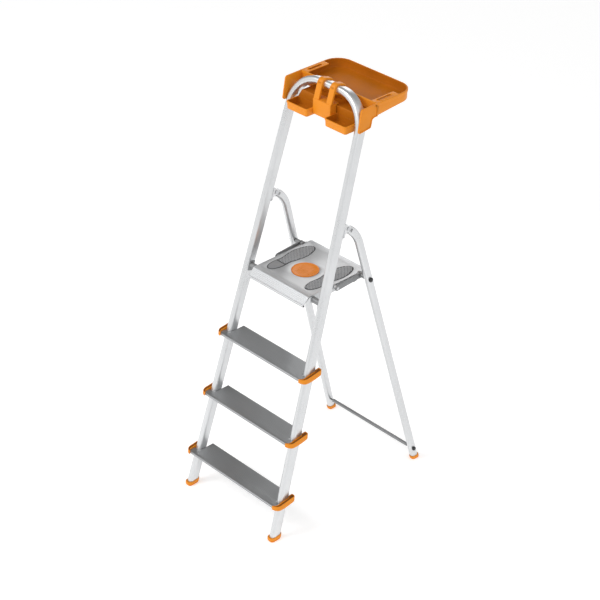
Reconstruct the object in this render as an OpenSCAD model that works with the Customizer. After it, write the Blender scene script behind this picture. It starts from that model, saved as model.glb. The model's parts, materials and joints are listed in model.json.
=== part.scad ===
// Folding platform step ladder with three treads, a platform, a tall safety
// hoop and a tool tray. Millimetres, +Z up, front towards -Y.

/* [Climb] */
// Height of the first tread above the floor
first_rise = 145; // [110:1:200]
// Height from one tread to the next
step_rise = 226; // [200:1:250]
// Height of the platform's upper face above the floor
platform_z = 854; // [800:1:930]

/* [Front frame] */
// Backward lean of the front frame, degrees
lean = 17.5; // [15:0.5:20]
// Half the distance between the stile axes at the floor
foot_half = 221.7; // [200:0.1:260]
// Inward lean of each stile within the frame, degrees
splay = 2.25; // [1:0.05:3]
// Width of the stile tube, across the ladder
tube_w = 25; // [23:0.5:30]
// Depth of the stile tube, front to back
tube_d = 40; // [34:0.5:46]
// Corner radius of the stile tube
tube_r = 11; // [6:0.5:11]
// Wall of the stile tube
tube_wall = 1.6; // [1.2:0.1:2.5]
// Height of the hoop's top bar axis above the floor
hoop_z = 1511; // [1400:1:1600]
// Radius of the hoop's two bends, on the tube axis
hoop_bend_r = 115; // [90:1:135]

/* [Treads] */
// Depth of a tread, front to back
tread_depth = 94; // [85:1:105]
// How far a tread reaches in front of the stile axis
tread_front = 49; // [44:1:54]
// Thickness of a tread's plate
tread_t = 2.5; // [2:0.1:4]
// Height of a tread's front lip
tread_lip = 9; // [7:0.5:14]
// Height of a tread's rear lip and of its end flanges
tread_skirt = 24; // [18:1:30]
// How far an end cap stands out past the stile axis
cap_out = 28; // [22:0.5:32]
// Height of an end cap above the tread
cap_rise = 14; // [8:1:20]
// Height of an end cap below the tread
cap_drop = 14; // [10:1:18]

/* [Rear frame] */
// Forward lean of the rear legs, degrees
rear_lean = 15; // [12:0.5:18]
// Width of the rear leg tube, across the ladder
leg_w = 20; // [19:0.5:24]
// Depth of the rear leg tube, front to back
leg_d = 30; // [24:0.5:34]
// Corner radius of the rear leg tube
leg_r = 9; // [5:0.5:9]
// Wall of the rear leg tube
leg_wall = 1.5; // [1.2:0.1:2.5]
// Height of the rear hinge axis above the floor
hinge_z = 1085; // [1040:1:1130]
// Distance from the stile's back face to the rear hinge axis, level
hinge_off = 13; // [12.5:0.5:18]
// Lean of a rear leg's upper end, degrees from upright
leg_end_lean = 50; // [44:1:56]
// Radius of the bend near a rear leg's upper end
leg_bend_r = 130; // [110:1:150]
// Straight length from that bend to the hinge axis
leg_tail = 24; // [22:1:36]
// Fold of the rear frame towards the front frame, degrees
fold_deg = 32.5; // [28:0.5:33]
// Height of the rear crossbar above the floor
bar_z = 52; // [48:1:90]
// Height of the rear crossbar's section
bar_h = 9; // [8:0.5:14]
// Depth of the rear crossbar's section
bar_d = 12; // [10:0.5:24]

/* [Platform] */
// Width of the platform
platform_w = 276; // [240:1:286]
// Depth of the platform
platform_depth = 272; // [240:1:290]
// Thickness of the platform's deck
deck_t = 5; // [4:0.5:7]
// Height of the platform's side rails
rail_h = 30; // [27:1:36]
// Thickness of the platform's side rails
rail_t = 4; // [3:0.5:5]
// Depth of the platform's pivot below its upper face
pivot_drop = 18; // [16:0.5:20]
// Radius of the badge disc
badge_r = 49; // [35:0.5:55]
// Length of a foot grip
grip_len = 225; // [190:1:240]

/* [Tray] */
// Clearance between a stile and the tray's cheek beside it
tray_gap = 1.6; // [0.6:0.1:6]
// Height of the tray's rim above the hoop's top bar axis, negative below it
tray_rim = -12; // [-20:1:-6]
// Depth of the tray's basin at its rear
basin_h = 37; // [32:1:54]
// Fall of the tray's floor from its rear to its front
basin_fall = 10; // [8:1:24]
// Level distance from the hoop's top bar axis to the tray's rear wall
tray_back = 206; // [180:1:230]
// Wall of the tray
tray_wall = 3.5; // [2.5:0.5:5]
// Radius of the tray's rear corners
tray_corner_r = 60; // [40:1:80]

/* [Fits] */
// Radial clearance of a pin in its bore
pin_gap = 0.05; // [0.03:0.01:0.09]
// Clearance between pieces that only meet
seat_gap = 0.3; // [0.2:0.05:0.5]

/* [Hidden] */

$fn = 48;

// Colours
silver = [0.86, 0.87, 0.88];
satin = [0.62, 0.63, 0.65];
orange = [0.93, 0.49, 0.12];
steel_grey = [0.42, 0.43, 0.45];
grip_grey = [0.38, 0.39, 0.41];
black = [0.08, 0.08, 0.09];

// Treads
tread_z = [first_rise, first_rise + step_rise, first_rise + 2 * step_rise];

// Stile axis: half spacing and depth at a height
function stile_x(z) = foot_half - z / cos(lean) * tan(splay);
function stile_y(z) = z * tan(lean);
stile_half_y = tube_d / 2 / cos(lean);

// Hoop, in the plane of the front frame: v runs up the plane
hoop_v = hoop_z / cos(lean);
arc_v = hoop_v - hoop_bend_r;
arc_u = foot_half - arc_v * tan(splay) - hoop_bend_r / cos(splay);
stile_end_v = arc_v + hoop_bend_r * sin(splay);
stile_len = (stile_end_v) / cos(splay);
hoop_y = stile_y(hoop_z);

// Rear hinge axis
hinge_y = stile_y(hinge_z) + stile_half_y + hinge_off;
hinge_x = stile_x(hinge_z);
eye_r = 11;
eye_w = 15;
ear_t = 3.5;
ear_r = 12;
hinge_pin_r = 4;

// Rear leg path, in its own plane: the bend's ends and the foot
bend_end = [hinge_y + leg_tail * sin(leg_end_lean), hinge_z - leg_tail * cos(leg_end_lean)];
bend_c = [bend_end[0] - leg_bend_r * cos(leg_end_lean), bend_end[1] - leg_bend_r * sin(leg_end_lean)];
bend_start = [bend_c[0] + leg_bend_r * cos(rear_lean), bend_c[1] + leg_bend_r * sin(rear_lean)];
leg_foot_y = bend_start[0] + bend_start[1] * tan(rear_lean);
function leg_y(z) = leg_foot_y - z * tan(rear_lean);
function leg_x(z) = stile_x(z);

// Half width inside the hoop at a height, where the tube is nearest the middle
function hoop_inside(z) = arc_u + sqrt(pow(hoop_bend_r - tube_w / 2, 2)
                                       - pow(z / cos(lean) + tube_d / 2 * tan(lean) - arc_v, 2));
collar_start = 13;

// Rear feet and front feet, front to back
foot_wall = 2;
leg_half_y = leg_d / 2 / cos(rear_lean);
front_toe = stile_half_y + foot_wall + 2;
front_heel = stile_half_y + foot_wall + 5;
rear_toe = leg_half_y + foot_wall + 1.5;
rear_heel = leg_half_y + foot_wall + 2.5;
foot_sole = 5;
foot_rim = 18;
foot_flare = 4;

// The origin is under the middle of the ladder's own length
y_mid = (leg_foot_y + rear_heel - front_toe) / 2;

// Platform pivot, and the bolt that carries the stay on a rear leg
pivot_z = platform_z - pivot_drop;
pivot_y = stile_y(pivot_z);
bolt_rise = 15;
bolt_z = pivot_z + bolt_rise;
bolt_y = leg_y(bolt_z);
pivot_r = 5;
platform_front = stile_y(platform_z) - stile_half_y - 4;
platform_back = platform_front + platform_depth;

// Folded place of that bolt, and the stay that reaches it
arm = [bolt_y - hinge_y, bolt_z - hinge_z];
arm_folded = [arm[0] * cos(fold_deg) + arm[1] * sin(fold_deg),
              arm[1] * cos(fold_deg) - arm[0] * sin(fold_deg)];
bolt_folded = [hinge_y + arm_folded[0] - pivot_y, hinge_z + arm_folded[1] - pivot_z];
reach = norm([bolt_y - pivot_y, bolt_z - pivot_z]);
line_deg = atan2(bolt_z - pivot_z, bolt_y - pivot_y);
platform_fold = 90 - lean;
fold_line = line_deg + platform_fold;
along_fold = bolt_folded[0] * cos(fold_line) + bolt_folded[1] * sin(fold_line);
stay_arm = (reach * reach - bolt_folded[0] * bolt_folded[0] - bolt_folded[1] * bolt_folded[1])
    / (2 * (reach - along_fold));
stay_len = reach - stay_arm;
joint_y = pivot_y + stay_arm * cos(line_deg);
joint_z = pivot_z + stay_arm * sin(line_deg);

// Sideways places of the stay and the rest, outwards from the platform
rest_t = 7;
stay_t = 4;
stay_x = platform_w / 2 + rest_t + 3.5;
stay_eye_r = 10;

// Tray levels
rim_z = hoop_z + tray_rim;
cheek_drop = 85;
tray_w = 2 * (stile_x(rim_z - cheek_drop) + tube_w / 2 + tray_gap + tray_wall);
basin_z = rim_z - basin_h;
basin_front = hoop_y + 29;
basin_back = hoop_y + tray_back;
pocket_front = hoop_y - 76;
pocket_back = hoop_y - 20;
pocket_z = rim_z - 96;
pocket_rim_z = pocket_z + 29;
ledge_z = rim_z - 30;
saddle_half = 42;
saddle_front = pocket_front + 26;
saddle_top = ledge_z - 2;
hook_w = 24;
hook_x = 30;
hook_t = 7;
hook_front = 10;
hook_drop = 70;

// Rounded rectangle with true arcs
module rounded(w, d, r) {
    union() {
        square([w - 2 * r, d], center = true);
        square([w, d - 2 * r], center = true);
        for (sx = [-1, 1])
            for (sy = [-1, 1])
                translate([sx * (w / 2 - r), sy * (d / 2 - r)])
                    circle(r);
    }
}

// Tube section, grown by g all round
module stile_section(g = 0) { rounded(tube_w + 2 * g, tube_d + 2 * g, tube_r + g); }
module leg_section(g = 0) { rounded(leg_w + 2 * g, leg_d + 2 * g, leg_r + g); }

module tube_ring() {
    difference() {
        stile_section();
        stile_section(-tube_wall);
    }
}

// From the frame's own y to the origin's
module place() { translate([0, -y_mid, 0]) children(); }

// Local Z up the stile's axis from the floor; side is -1 left, 1 right
module on_stile(side) {
    rotate([-lean, 0, 0])
        translate([side * foot_half, 0, 0])
            rotate([0, -side * splay, 0])
                children();
}

// A profile drawn as [y, z], extruded across the ladder from x0 to x1
module across(x0, x1) {
    translate([x0, 0, 0])
        rotate([90, 0, 90])
            linear_extrude(x1 - x0)
                children();
}

// Solid outline of the stile, used to fit pieces round it
module stile_outline(side, g = 0) {
    on_stile(side)
        translate([0, 0, -60])
            linear_extrude(stile_len + 60)
                stile_section(g);
}

module stile(side) {
    color(silver)
        difference() {
            on_stile(side)
                translate([0, 0, -30])
                    linear_extrude(stile_len + 30)
                        tube_ring();
            translate([-500, -500, -200])
                cube([1000, 1000, 200 + foot_sole]);
        }
}

// Hoop: a bend above each stile and a bar between them
module bend_solid(side, g) {
    rotate([-lean, 0, 0])
        mirror([side < 0 ? 1 : 0, 0, 0])
            translate([arc_u, 0, arc_v])
                rotate([90, 0, 0])
                    rotate([0, 0, splay])
                        rotate_extrude(angle = 90 - splay, $fn = 96)
                            translate([hoop_bend_r, 0])
                                stile_section(-g);
}

module hoop_bend(side) {
    color(silver)
        difference() {
            bend_solid(side, 0);
            bend_solid(side, tube_wall);
        }
}

module hoop_bar() {
    color(silver)
        rotate([-lean, 0, 0])
            translate([-arc_u, 0, hoop_v])
                rotate([0, 90, 0])
                    linear_extrude(2 * arc_u)
                        tube_ring();
}

// Treads
flange_t = 3;

module tread_profile(z) {
    f = stile_y(z) - tread_front;
    b = f + tread_depth;
    difference() {
        union() {
            translate([f + 4, z - tread_t]) square([b - f - 4, tread_t]);
            translate([f + 4, z - 4]) circle(4);
            translate([f, z - tread_lip]) square([tread_t, tread_lip - 4]);
            translate([b - tread_t, z - tread_skirt]) square([tread_t, tread_skirt]);
            translate([f + 30, z - 10]) square([tread_t, 8]);
            translate([f + 62, z - 10]) square([tread_t, 8]);
        }
        translate([f + tread_t, z - 12]) square([8, 12 - tread_t]);
    }
}

tread_corner_r = 14;

// Outline of a tread seen from above, grown by g
module tread_plan(z, g = 0) {
    f = stile_y(z) - tread_front;
    b = f + tread_depth;
    half = stile_x(z) + tube_w / 2 + 1;
    inner = stile_x(z) - tube_w / 2 - 1.5;
    difference() {
        union() {
            translate([-half - g, f + tread_corner_r]) square([2 * half + 2 * g, b + g - f - tread_corner_r]);
            translate([-half + tread_corner_r, f - g]) square([2 * half - 2 * tread_corner_r, 40]);
            for (s = [-1, 1])
                translate([s * (half - tread_corner_r), f + tread_corner_r]) circle(tread_corner_r + g);
        }
        for (s = [-1, 1])
            translate([s > 0 ? inner + g : -inner - g - 80, stile_y(z) - 8 + g]) square([80, 120]);
    }
}

module tread(i) {
    z = tread_z[i];
    f = stile_y(z) - tread_front;
    b = f + tread_depth;
    half = stile_x(z) + tube_w / 2 + 1;
    inner = stile_x(z) - tube_w / 2 - 1.5;
    color(satin)
        difference() {
            union() {
                intersection() {
                    across(-half, half) tread_profile(z);
                    translate([0, 0, z - 60]) linear_extrude(80) tread_plan(z);
                }
                for (s = [-1, 1])
                    translate([s > 0 ? inner - flange_t : -inner, f + 34, z - tread_skirt])
                        cube([flange_t, b - f - 34 - 1, tread_skirt - 1]);
            }
            for (s = [-1, 1]) stile_outline(s, seat_gap);
        }
}

rivet_head_r = 5;

module tread_rivets() {
    color(silver)
        for (z = tread_z)
            for (s = [-1, 1])
                for (dy = [2, 26])
                    translate([s * (stile_x(z) - tube_w / 2 - 1.5 - flange_t), stile_y(z) + dy, z - 14])
                        rotate([0, -s * 90, 0])
                            cylinder(h = 1.8, r = rivet_head_r);
}

// End cap: it starts at the tread's front corner, passes outside the stile and
// ends in a flat face behind it
cap_front_r = 24;
cap_rear_r = 10;
cap_in = 8;
cap_back = 38;

module cap_plan(z) {
    y0 = stile_y(z);
    x0 = stile_x(z);
    xo = x0 + cap_out;
    front = y0 - tread_front - 3;
    difference() {
        union() {
            translate([xo - cap_front_r, front + cap_front_r])
                square([cap_front_r, cap_back - cap_rear_r + y0 - front - cap_front_r]);
            translate([x0 + cap_in, y0 + 8]) square([cap_out - cap_in - cap_rear_r, cap_back - 8]);
            translate([xo - cap_rear_r, y0 + cap_back - cap_rear_r]) circle(cap_rear_r);
            intersection() {
                translate([xo - cap_front_r, front + cap_front_r]) circle(cap_front_r);
                translate([xo - cap_front_r, front - 1]) square([60, 60]);
            }
        }
        tread_plan(z, seat_gap);
        translate([x0 - 20, y0 - 12]) square([20 + tube_w / 2 + 1 + seat_gap, 28]);
    }
}

module cap(i, side) {
    z = tread_z[i];
    f = stile_y(z) - tread_front;
    b = f + tread_depth;
    color(orange)
        difference() {
            intersection() {
                mirror([side < 0 ? 1 : 0, 0, 0])
                    translate([0, 0, z - cap_drop])
                        linear_extrude(cap_rise + cap_drop)
                            cap_plan(z);
                across(-400, 400)
                    polygon([[f - 4, z - 11], [f - 4, z + 1], [f + 12, z + 5],
                             [f + 40, z + cap_rise - 2], [b - 18, z + cap_rise],
                             [b + 1, z + cap_rise - 3], [b + 1, z - cap_drop + 3],
                             [b - 10, z - cap_drop], [f + 22, z - cap_drop]]);
            }
            stile_outline(side, seat_gap);
        }
}

// Feet: a sleeve on the tube's end with a sole on the floor
module foot_front(side) {
    color(orange)
        difference() {
            intersection() {
                on_stile(side)
                    translate([0, -1, -40])
                        linear_extrude(140)
                            rounded(tube_w + 2 * foot_wall, 2 * front_heel, tube_r + foot_wall);
                across(-400, 400)
                    polygon([[-front_toe + foot_flare, 0], [-front_toe, foot_rim - 2],
                             [-front_toe + foot_flare, foot_rim + 1], [0, foot_rim - 3],
                             [front_heel, foot_rim + foot_flare], [front_heel + foot_flare, foot_rim],
                             [front_heel - foot_flare, 0]]);
            }
            difference() {
                stile_outline(side, seat_gap);
                translate([-500, -500, -200])
                    cube([1000, 1000, 200 + foot_sole - seat_gap]);
            }
        }
}

// Tray
module tray_plan(inset) {
    half = tray_w / 2 - inset;
    r = tray_corner_r - inset;
    back = basin_back - inset;
    union() {
        translate([-half, basin_front]) square([2 * half, back - basin_front - r]);
        translate([-half + r, back - r - 1]) square([2 * half - 2 * r, r + 1]);
        for (s = [-1, 1])
            translate([s * (half - r), back - r]) circle(r, $fn = 96);
    }
}

slot_len = 62;
slot_w = 10;
slot_in = 17;
slot_y = basin_front + 50;
flange_w = 30;
basin_flat = 64;

// Basin seen from the side: its underside falls towards the front
module basin_side(lift, top) {
    polygon([[basin_front - 1, top], [basin_back + 1, top], [basin_back + 1, basin_z + lift],
             [basin_back - basin_flat, basin_z + lift],
             [basin_front - 1, basin_z - basin_fall + lift]]);
}

// Cheek seen from the side, reaching forward outside a stile
module cheek_side() {
    low = rim_z - cheek_drop;
    polygon([[basin_front + 1, rim_z], [hoop_y - 38, rim_z - 1], [hoop_y - 43, rim_z - 7],
             [hoop_y - 57, low + 7], [hoop_y - 50, low], [hoop_y + 1, low + 6],
             [hoop_y + 8, low + 38], [basin_front + 1, basin_z - basin_fall]]);
}

module tray_basin() {
    half = tray_w / 2;
    color(orange)
        difference() {
            union() {
                // Floor and walls
                difference() {
                    intersection() {
                        translate([0, 0, rim_z - 90]) linear_extrude(90) tray_plan(0);
                        across(-half - 1, half + 1) basin_side(0, rim_z + 1);
                    }
                    intersection() {
                        translate([0, 0, rim_z - 90]) linear_extrude(120) tray_plan(tray_wall);
                        across(-half - 1, half + 1) basin_side(tray_wall, rim_z + 20);
                    }
                }
                // Ledge behind the hoop
                translate([-half + 1, basin_front, basin_z - basin_fall + 1])
                    cube([2 * half - 2, 14, ledge_z - basin_z + basin_fall - 1]);
                // Side flanges that carry the slots
                for (s = [-1, 1])
                    translate([s > 0 ? half - flange_w : -half, basin_front, rim_z - 3])
                        cube([flange_w, 104, 3]);
                for (s = [-1, 1])
                    across(s > 0 ? half - tray_wall : -half, s > 0 ? half : -half + tray_wall)
                        cheek_side();
            }
            for (s = [-1, 1])
                translate([s * (half - slot_in), slot_y, rim_z - 10])
                    linear_extrude(20)
                        rounded(slot_w, slot_len, slot_w / 2 - 0.01);
        }
}

// Floor under the hoop bar, from the pockets back to the basin
bridge_half = hoop_inside(ledge_z - 12 + tray_wall) - 2;
pocket_out = hoop_inside(pocket_rim_z) - 2;

module tray_bridge() {
    color(orange)
        union() {
            translate([-bridge_half, pocket_back, ledge_z - 12])
                cube([2 * bridge_half, basin_front - pocket_back, tray_wall]);
            translate([-bridge_half, pocket_back, pocket_rim_z])
                cube([2 * bridge_half, tray_wall, ledge_z - 12 - pocket_rim_z]);
        }
}

module tray_pocket(side) {
    x0 = saddle_half;
    w = pocket_out - x0;
    d = pocket_back + tray_wall - pocket_front;
    color(orange)
        mirror([side < 0 ? 1 : 0, 0, 0])
            translate([x0, pocket_front, pocket_z])
                difference() {
                    linear_extrude(pocket_rim_z - pocket_z)
                        translate([w / 2, d / 2]) rounded(w, d, 7);
                    translate([0, 0, tray_wall])
                        linear_extrude(100)
                            translate([w / 2, d / 2])
                                rounded(w - 2 * tray_wall, d - 2 * tray_wall, 4);
                }
}

// Block between the pockets that the hooks stand on
module tray_saddle() {
    color(orange)
        difference() {
            across(-saddle_half, saddle_half)
                polygon([[saddle_front, pocket_z + 8], [saddle_front + 2, saddle_top - 3],
                         [saddle_front + 4, saddle_top], [hoop_y - 8, saddle_top],
                         [hoop_y - 8, ledge_z - 12 + tray_wall],
                         [pocket_back + tray_wall, ledge_z - 12 + tray_wall],
                         [pocket_back, ledge_z - 12], [pocket_back, pocket_z + 6]]);
            tray_bridge();
        }
}

// Hook: a band round the hoop's bar with a front leg down to the saddle
module tray_hook(side) {
    x0 = side > 0 ? hook_x - hook_w / 2 : -hook_x - hook_w / 2;
    color(orange)
        difference() {
            rotate([-lean, 0, 0])
                translate([x0, 0, hoop_v])
                    rotate([0, 90, 0])
                        linear_extrude(hook_w)
                            union() {
                                translate([0, (hook_t - hook_front) / 2])
                                    rounded(tube_w + 2 * hook_t, tube_d + hook_t + hook_front, tube_r + hook_t);
                                translate([0, -tube_d / 2 - hook_front])
                                    square([hook_drop, hook_front - seat_gap]);
                            }
            translate([-100, hoop_y - 100, saddle_top - 100]) cube([200, 200, 100]);
            rotate([-lean, 0, 0])
                translate([x0 - 1, 0, hoop_v])
                    rotate([0, 90, 0])
                        linear_extrude(hook_w + 2)
                            stile_section(seat_gap);
        }
}

// Rear hinge: a bracket with two ears on the stile's back
module hinge_bracket(side) {
    color(steel_grey)
        difference() {
            union() {
                for (e = [-1, 1]) {
                    xe = side * hinge_x + e * (eye_w / 2 + 0.5 + ear_t / 2);
                    across(xe - ear_t / 2, xe + ear_t / 2)
                        union() {
                            translate([hinge_y, hinge_z]) circle(ear_r);
                            polygon([[hinge_y, hinge_z + ear_r], [hinge_y, hinge_z - ear_r],
                                     [hinge_y - hinge_off - 14, hinge_z - 17],
                                     [hinge_y - hinge_off - 8, hinge_z + 24]]);
                        }
                }
                intersection() {
                    on_stile(side)
                        translate([-tube_w / 2, tube_d / 2 - 4, hinge_z / cos(lean) - 34])
                            cube([tube_w, 7, 62]);
                    translate([-400, 0, hinge_z - 26]) cube([800, 800, 52]);
                }
            }
            stile_outline(side, 0);
            across(side * hinge_x - 30, side * hinge_x + 30)
                translate([hinge_y, hinge_z]) circle(hinge_pin_r + pin_gap);
            across(side * hinge_x - eye_w / 2 - 0.5, side * hinge_x + eye_w / 2 + 0.5)
                translate([hinge_y, hinge_z]) circle(eye_r + 1);
        }
}

module hinge_pin(side) {
    l = eye_w + 1 + 2 * ear_t;
    color(steel_grey)
        translate([side * hinge_x, hinge_y, hinge_z])
            rotate([0, 90, 0]) {
                translate([0, 0, -l / 2 - 0.2]) cylinder(h = l + 0.4, r = hinge_pin_r);
                for (e = [-1, 1])
                    translate([0, 0, e * (l / 2 + 0.2 + 1.4) - 1.4]) cylinder(h = 2.8, r = 7);
            }
}

// Local frame of a rear leg: turned about the hinge so that the leg splays out
module on_leg(side) {
    translate([side * hinge_x, 0, hinge_z])
        rotate([0, -side * leg_splay, 0])
            translate([0, 0, -hinge_z])
                children();
}
leg_splay = atan(tan(splay) / cos(lean));

// Straight part of a leg, from the bend down past the floor, shrunk by g
module leg_straight(g = 0) {
    translate([0, bend_start[0], bend_start[1]])
        rotate([180 + rear_lean, 0, 0])
            linear_extrude(bend_start[1] / cos(rear_lean) + 40)
                leg_section(-g);
}

// Bend at a leg's upper end, shrunk by g
module leg_arc(g = 0) {
    translate([0, bend_c[0], bend_c[1]])
        rotate([90, 0, 90])
            rotate([0, 0, rear_lean])
                rotate_extrude(angle = leg_end_lean - rear_lean, $fn = 96)
                    translate([leg_bend_r, 0])
                        rotate(90)
                            leg_section(-g);
}

module leg_outline(side, g = 0) { on_leg(side) leg_straight(-g); }

bolt_r = 5;
bar_bolt_r = 3;
bar_corner_r = 2.5;

module rear_leg(side) {
    color(silver)
        difference() {
            on_leg(side) leg_straight(0);
            on_leg(side) leg_straight(leg_wall);
            translate([-500, -100, -200])
                cube([1000, 1500, 200 + foot_sole]);
            across(side > 0 ? 100 : -300, side > 0 ? 300 : -100)
                union() {
                    translate([bolt_y, bolt_z]) circle(bolt_r + pin_gap);
                    translate([leg_y(bar_z), bar_z]) circle(bar_bolt_r + pin_gap);
                }
        }
}

module leg_bend(side) {
    color(silver)
        on_leg(side)
            difference() {
                leg_arc(0);
                leg_arc(leg_wall);
            }
}

// Eye that closes the leg's upper end
module leg_end(side) {
    color(steel_grey)
        difference() {
            union() {
                across(side * hinge_x - eye_w / 2, side * hinge_x + eye_w / 2)
                    union() {
                        translate([hinge_y, hinge_z]) circle(eye_r);
                        translate([hinge_y, hinge_z])
                            rotate(-90 + leg_end_lean)
                                translate([0, -9]) square([collar_start + 2, 18]);
                    }
                on_leg(side)
                    translate([0, hinge_y, hinge_z])
                        rotate([leg_end_lean, 0, 0])
                            translate([0, 0, -leg_tail])
                                linear_extrude(leg_tail - collar_start) leg_section();
            }
            across(side * hinge_x - 30, side * hinge_x + 30)
                translate([hinge_y, hinge_z]) circle(hinge_pin_r + pin_gap);
        }
}

module foot_rear(side) {
    c = leg_foot_y;
    color(orange)
        difference() {
            intersection() {
                translate([side * leg_x(0), c + 2, 0])
                    rotate([0, -side * leg_splay, 0])
                        rotate([rear_lean, 0, 0])
                            translate([0, 0, -40])
                                linear_extrude(120)
                                    rounded(leg_w + 2 * foot_wall, 2 * rear_heel, leg_r + foot_wall);
                across(-400, 400)
                    polygon([[c - rear_toe + foot_flare, 0], [c - rear_toe - foot_flare, foot_rim - 3],
                             [c - rear_toe, foot_rim - 1], [c, foot_rim - 5],
                             [c + rear_heel - foot_flare, foot_rim], [c + rear_heel - 1, foot_rim - 4],
                             [c + rear_heel, foot_flare], [c + rear_heel - 3, 0]]);
            }
            difference() {
                leg_outline(side, seat_gap);
                translate([-500, -100, -200])
                    cube([1000, 1500, 200 + foot_sole - seat_gap]);
            }
        }
}

module rear_crossbar() {
    half = leg_x(bar_z);
    color(steel_grey)
        difference() {
            translate([-half, leg_y(bar_z), bar_z])
                rotate([0, 90, 0])
                    linear_extrude(2 * half)
                        rounded(bar_h, bar_d, bar_corner_r);
            for (s = [-1, 1]) {
                leg_outline(s, seat_gap);
                across(s > 0 ? half - 40 : -half - 2, s > 0 ? half + 2 : -half + 40)
                    translate([leg_y(bar_z), bar_z]) circle(bar_bolt_r + pin_gap);
            }
        }
}

// Bolt across a leg with a round cap outside it
module leg_bolt(side, y, z, r, inner_x, cap_r) {
    outer = leg_x(z) + leg_w / 2 + 1.2;
    mirror([side < 0 ? 1 : 0, 0, 0])
        translate([0, y, z])
            rotate([0, 90, 0]) {
                translate([0, 0, inner_x]) cylinder(h = outer - inner_x + 1, r = r);
                translate([0, 0, outer]) cylinder(h = 4, r = cap_r);
                translate([0, 0, outer + 3.99]) cylinder(h = 1.6, r1 = cap_r, r2 = cap_r - 2);
            }
}

module crossbar_bolts() {
    color(black)
        for (s = [-1, 1])
            leg_bolt(s, leg_y(bar_z), bar_z, bar_bolt_r, leg_x(bar_z) - leg_w / 2 - 24, 7.5);
}

// Bolt that carries the stay; the platform's rest sits on its inner end
module stay_bolt(side) {
    color(black) leg_bolt(side, bolt_y, bolt_z, bolt_r, platform_w / 2 + 0.6, 8.5);
    color(steel_grey)
        mirror([side < 0 ? 1 : 0, 0, 0])
            translate([0, bolt_y, bolt_z])
                rotate([0, 90, 0])
                    translate([0, 0, stay_x + stay_t + 0.6])
                        cylinder(h = leg_x(bolt_z) - leg_w / 2 - stay_x - stay_t - 2, r = bolt_r + 3);
}

// Platform brackets on the stiles' inner faces
module platform_bracket(side) {
    inner = stile_x(pivot_z) - tube_w / 2;
    color(steel_grey)
        difference() {
            union() {
                on_stile(side)
                    translate([side > 0 ? -tube_w / 2 - 3 : tube_w / 2 - 2, -11, pivot_z / cos(lean) - 18])
                        cube([5, 22, 36]);
                across(side > 0 ? platform_w / 2 + 0.6 : -inner - 2, side > 0 ? inner + 2 : -platform_w / 2 - 0.6)
                    translate([pivot_y, pivot_z]) circle(11);
            }
            stile_outline(side, 0);
            across(side > 0 ? 100 : -300, side > 0 ? 300 : -100)
                translate([pivot_y, pivot_z]) circle(pivot_r + pin_gap);
        }
}

module platform_pin(side) {
    inner = stile_x(pivot_z) - tube_w / 2 - 1;
    color(silver)
        mirror([side < 0 ? 1 : 0, 0, 0])
            translate([0, pivot_y, pivot_z])
                rotate([0, 90, 0]) {
                    translate([0, 0, platform_w / 2 - rail_t - 0.4])
                        cylinder(h = inner - platform_w / 2 + rail_t + 0.4, r = pivot_r);
                    translate([0, 0, platform_w / 2 - rail_t - 3.4]) cylinder(h = 3, r = 8);
                }
}

// Platform
nose_d = 14;

module platform_deck() {
    color(silver)
        difference() {
            translate([0, (platform_front + nose_d + platform_back) / 2, platform_z - deck_t])
                linear_extrude(deck_t)
                    rounded(platform_w, platform_depth - nose_d, 6);
            translate([0, badge_y, platform_z - 2]) cylinder(h = 10, r = badge_r + seat_gap, $fn = 96);
            for (s = [-1, 1])
                translate([0, 0, platform_z - 2]) linear_extrude(10) grip_outline(s, seat_gap);
            translate([-200, platform_front - 1, platform_z - deck_t - 1]) cube([400, nose_d + 7, deck_t + 2]);
        }
    color(silver)
        translate([-platform_w / 2, platform_front + nose_d, platform_z - deck_t])
            cube([platform_w, 7, deck_t - 1.2]);
}

// Sloped front apron with a stepped face and a rolled lower edge
apron_run = 26;
apron_fall = 27;
roll_r = 5;

module platform_nose() {
    f = platform_front;
    z = platform_z;
    color(silver)
        across(-platform_w / 2, platform_w / 2)
            difference() {
                union() {
                    polygon([[f + nose_d - 0.05, z - 1.2], [f + 1, z - 1.2], [f - 2, z - 2.4],
                             [f - apron_run, z - apron_fall + 3], [f - apron_run + 3, z - apron_fall],
                             [f + 2, z - deck_t - 1.2], [f + nose_d - 0.05, z - deck_t]]);
                    translate([f - apron_run + 1, z - apron_fall - 1]) circle(roll_r);
                }
                translate([f - apron_run + 1, z - apron_fall - 1]) circle(roll_r - 1.8);
            }
}

badge_y = platform_front + 113;

grip_toe_r = 34;
grip_heel_r = 27;
grip_ball = 112;

// Foot grip outline: a long oval with a waist
module grip_outline(side, g = 0) {
    x0 = side * (platform_w / 2 - grip_toe_r - 9);
    y0 = platform_front + nose_d + 9;
    difference() {
        union() {
            translate([x0 - side * 4, y0 + grip_heel_r]) circle(grip_heel_r + g);
            translate([x0 - side * 4 - grip_heel_r + 2 - g, y0 + grip_heel_r])
                square([2 * grip_heel_r - 4 + 2 * g, 64]);
            translate([x0 - grip_toe_r - g, y0 + grip_ball])
                square([2 * grip_toe_r + 2 * g, grip_len - grip_ball - grip_toe_r]);
            translate([x0, y0 + grip_len - grip_toe_r]) circle(grip_toe_r + g);
            translate([x0, y0 + grip_ball]) circle(grip_toe_r + g);
        }
        translate([0, badge_y]) circle(badge_r + 7 - g, $fn = 96);
        translate([x0 + side * (grip_toe_r + 36 + g), y0 + 66]) circle(44 - g);
    }
}

module grip(side) {
    color(grip_grey)
        translate([0, 0, platform_z - 2])
            linear_extrude(3)
                grip_outline(side, 0);
}

module badge() {
    color(orange)
        difference() {
            translate([0, badge_y, platform_z - 2]) cylinder(h = 3.4, r = badge_r, $fn = 96);
            translate([0, badge_y, platform_z + 0.6]) cylinder(h = 5, r = badge_r - 6, $fn = 96);
        }
}

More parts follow.
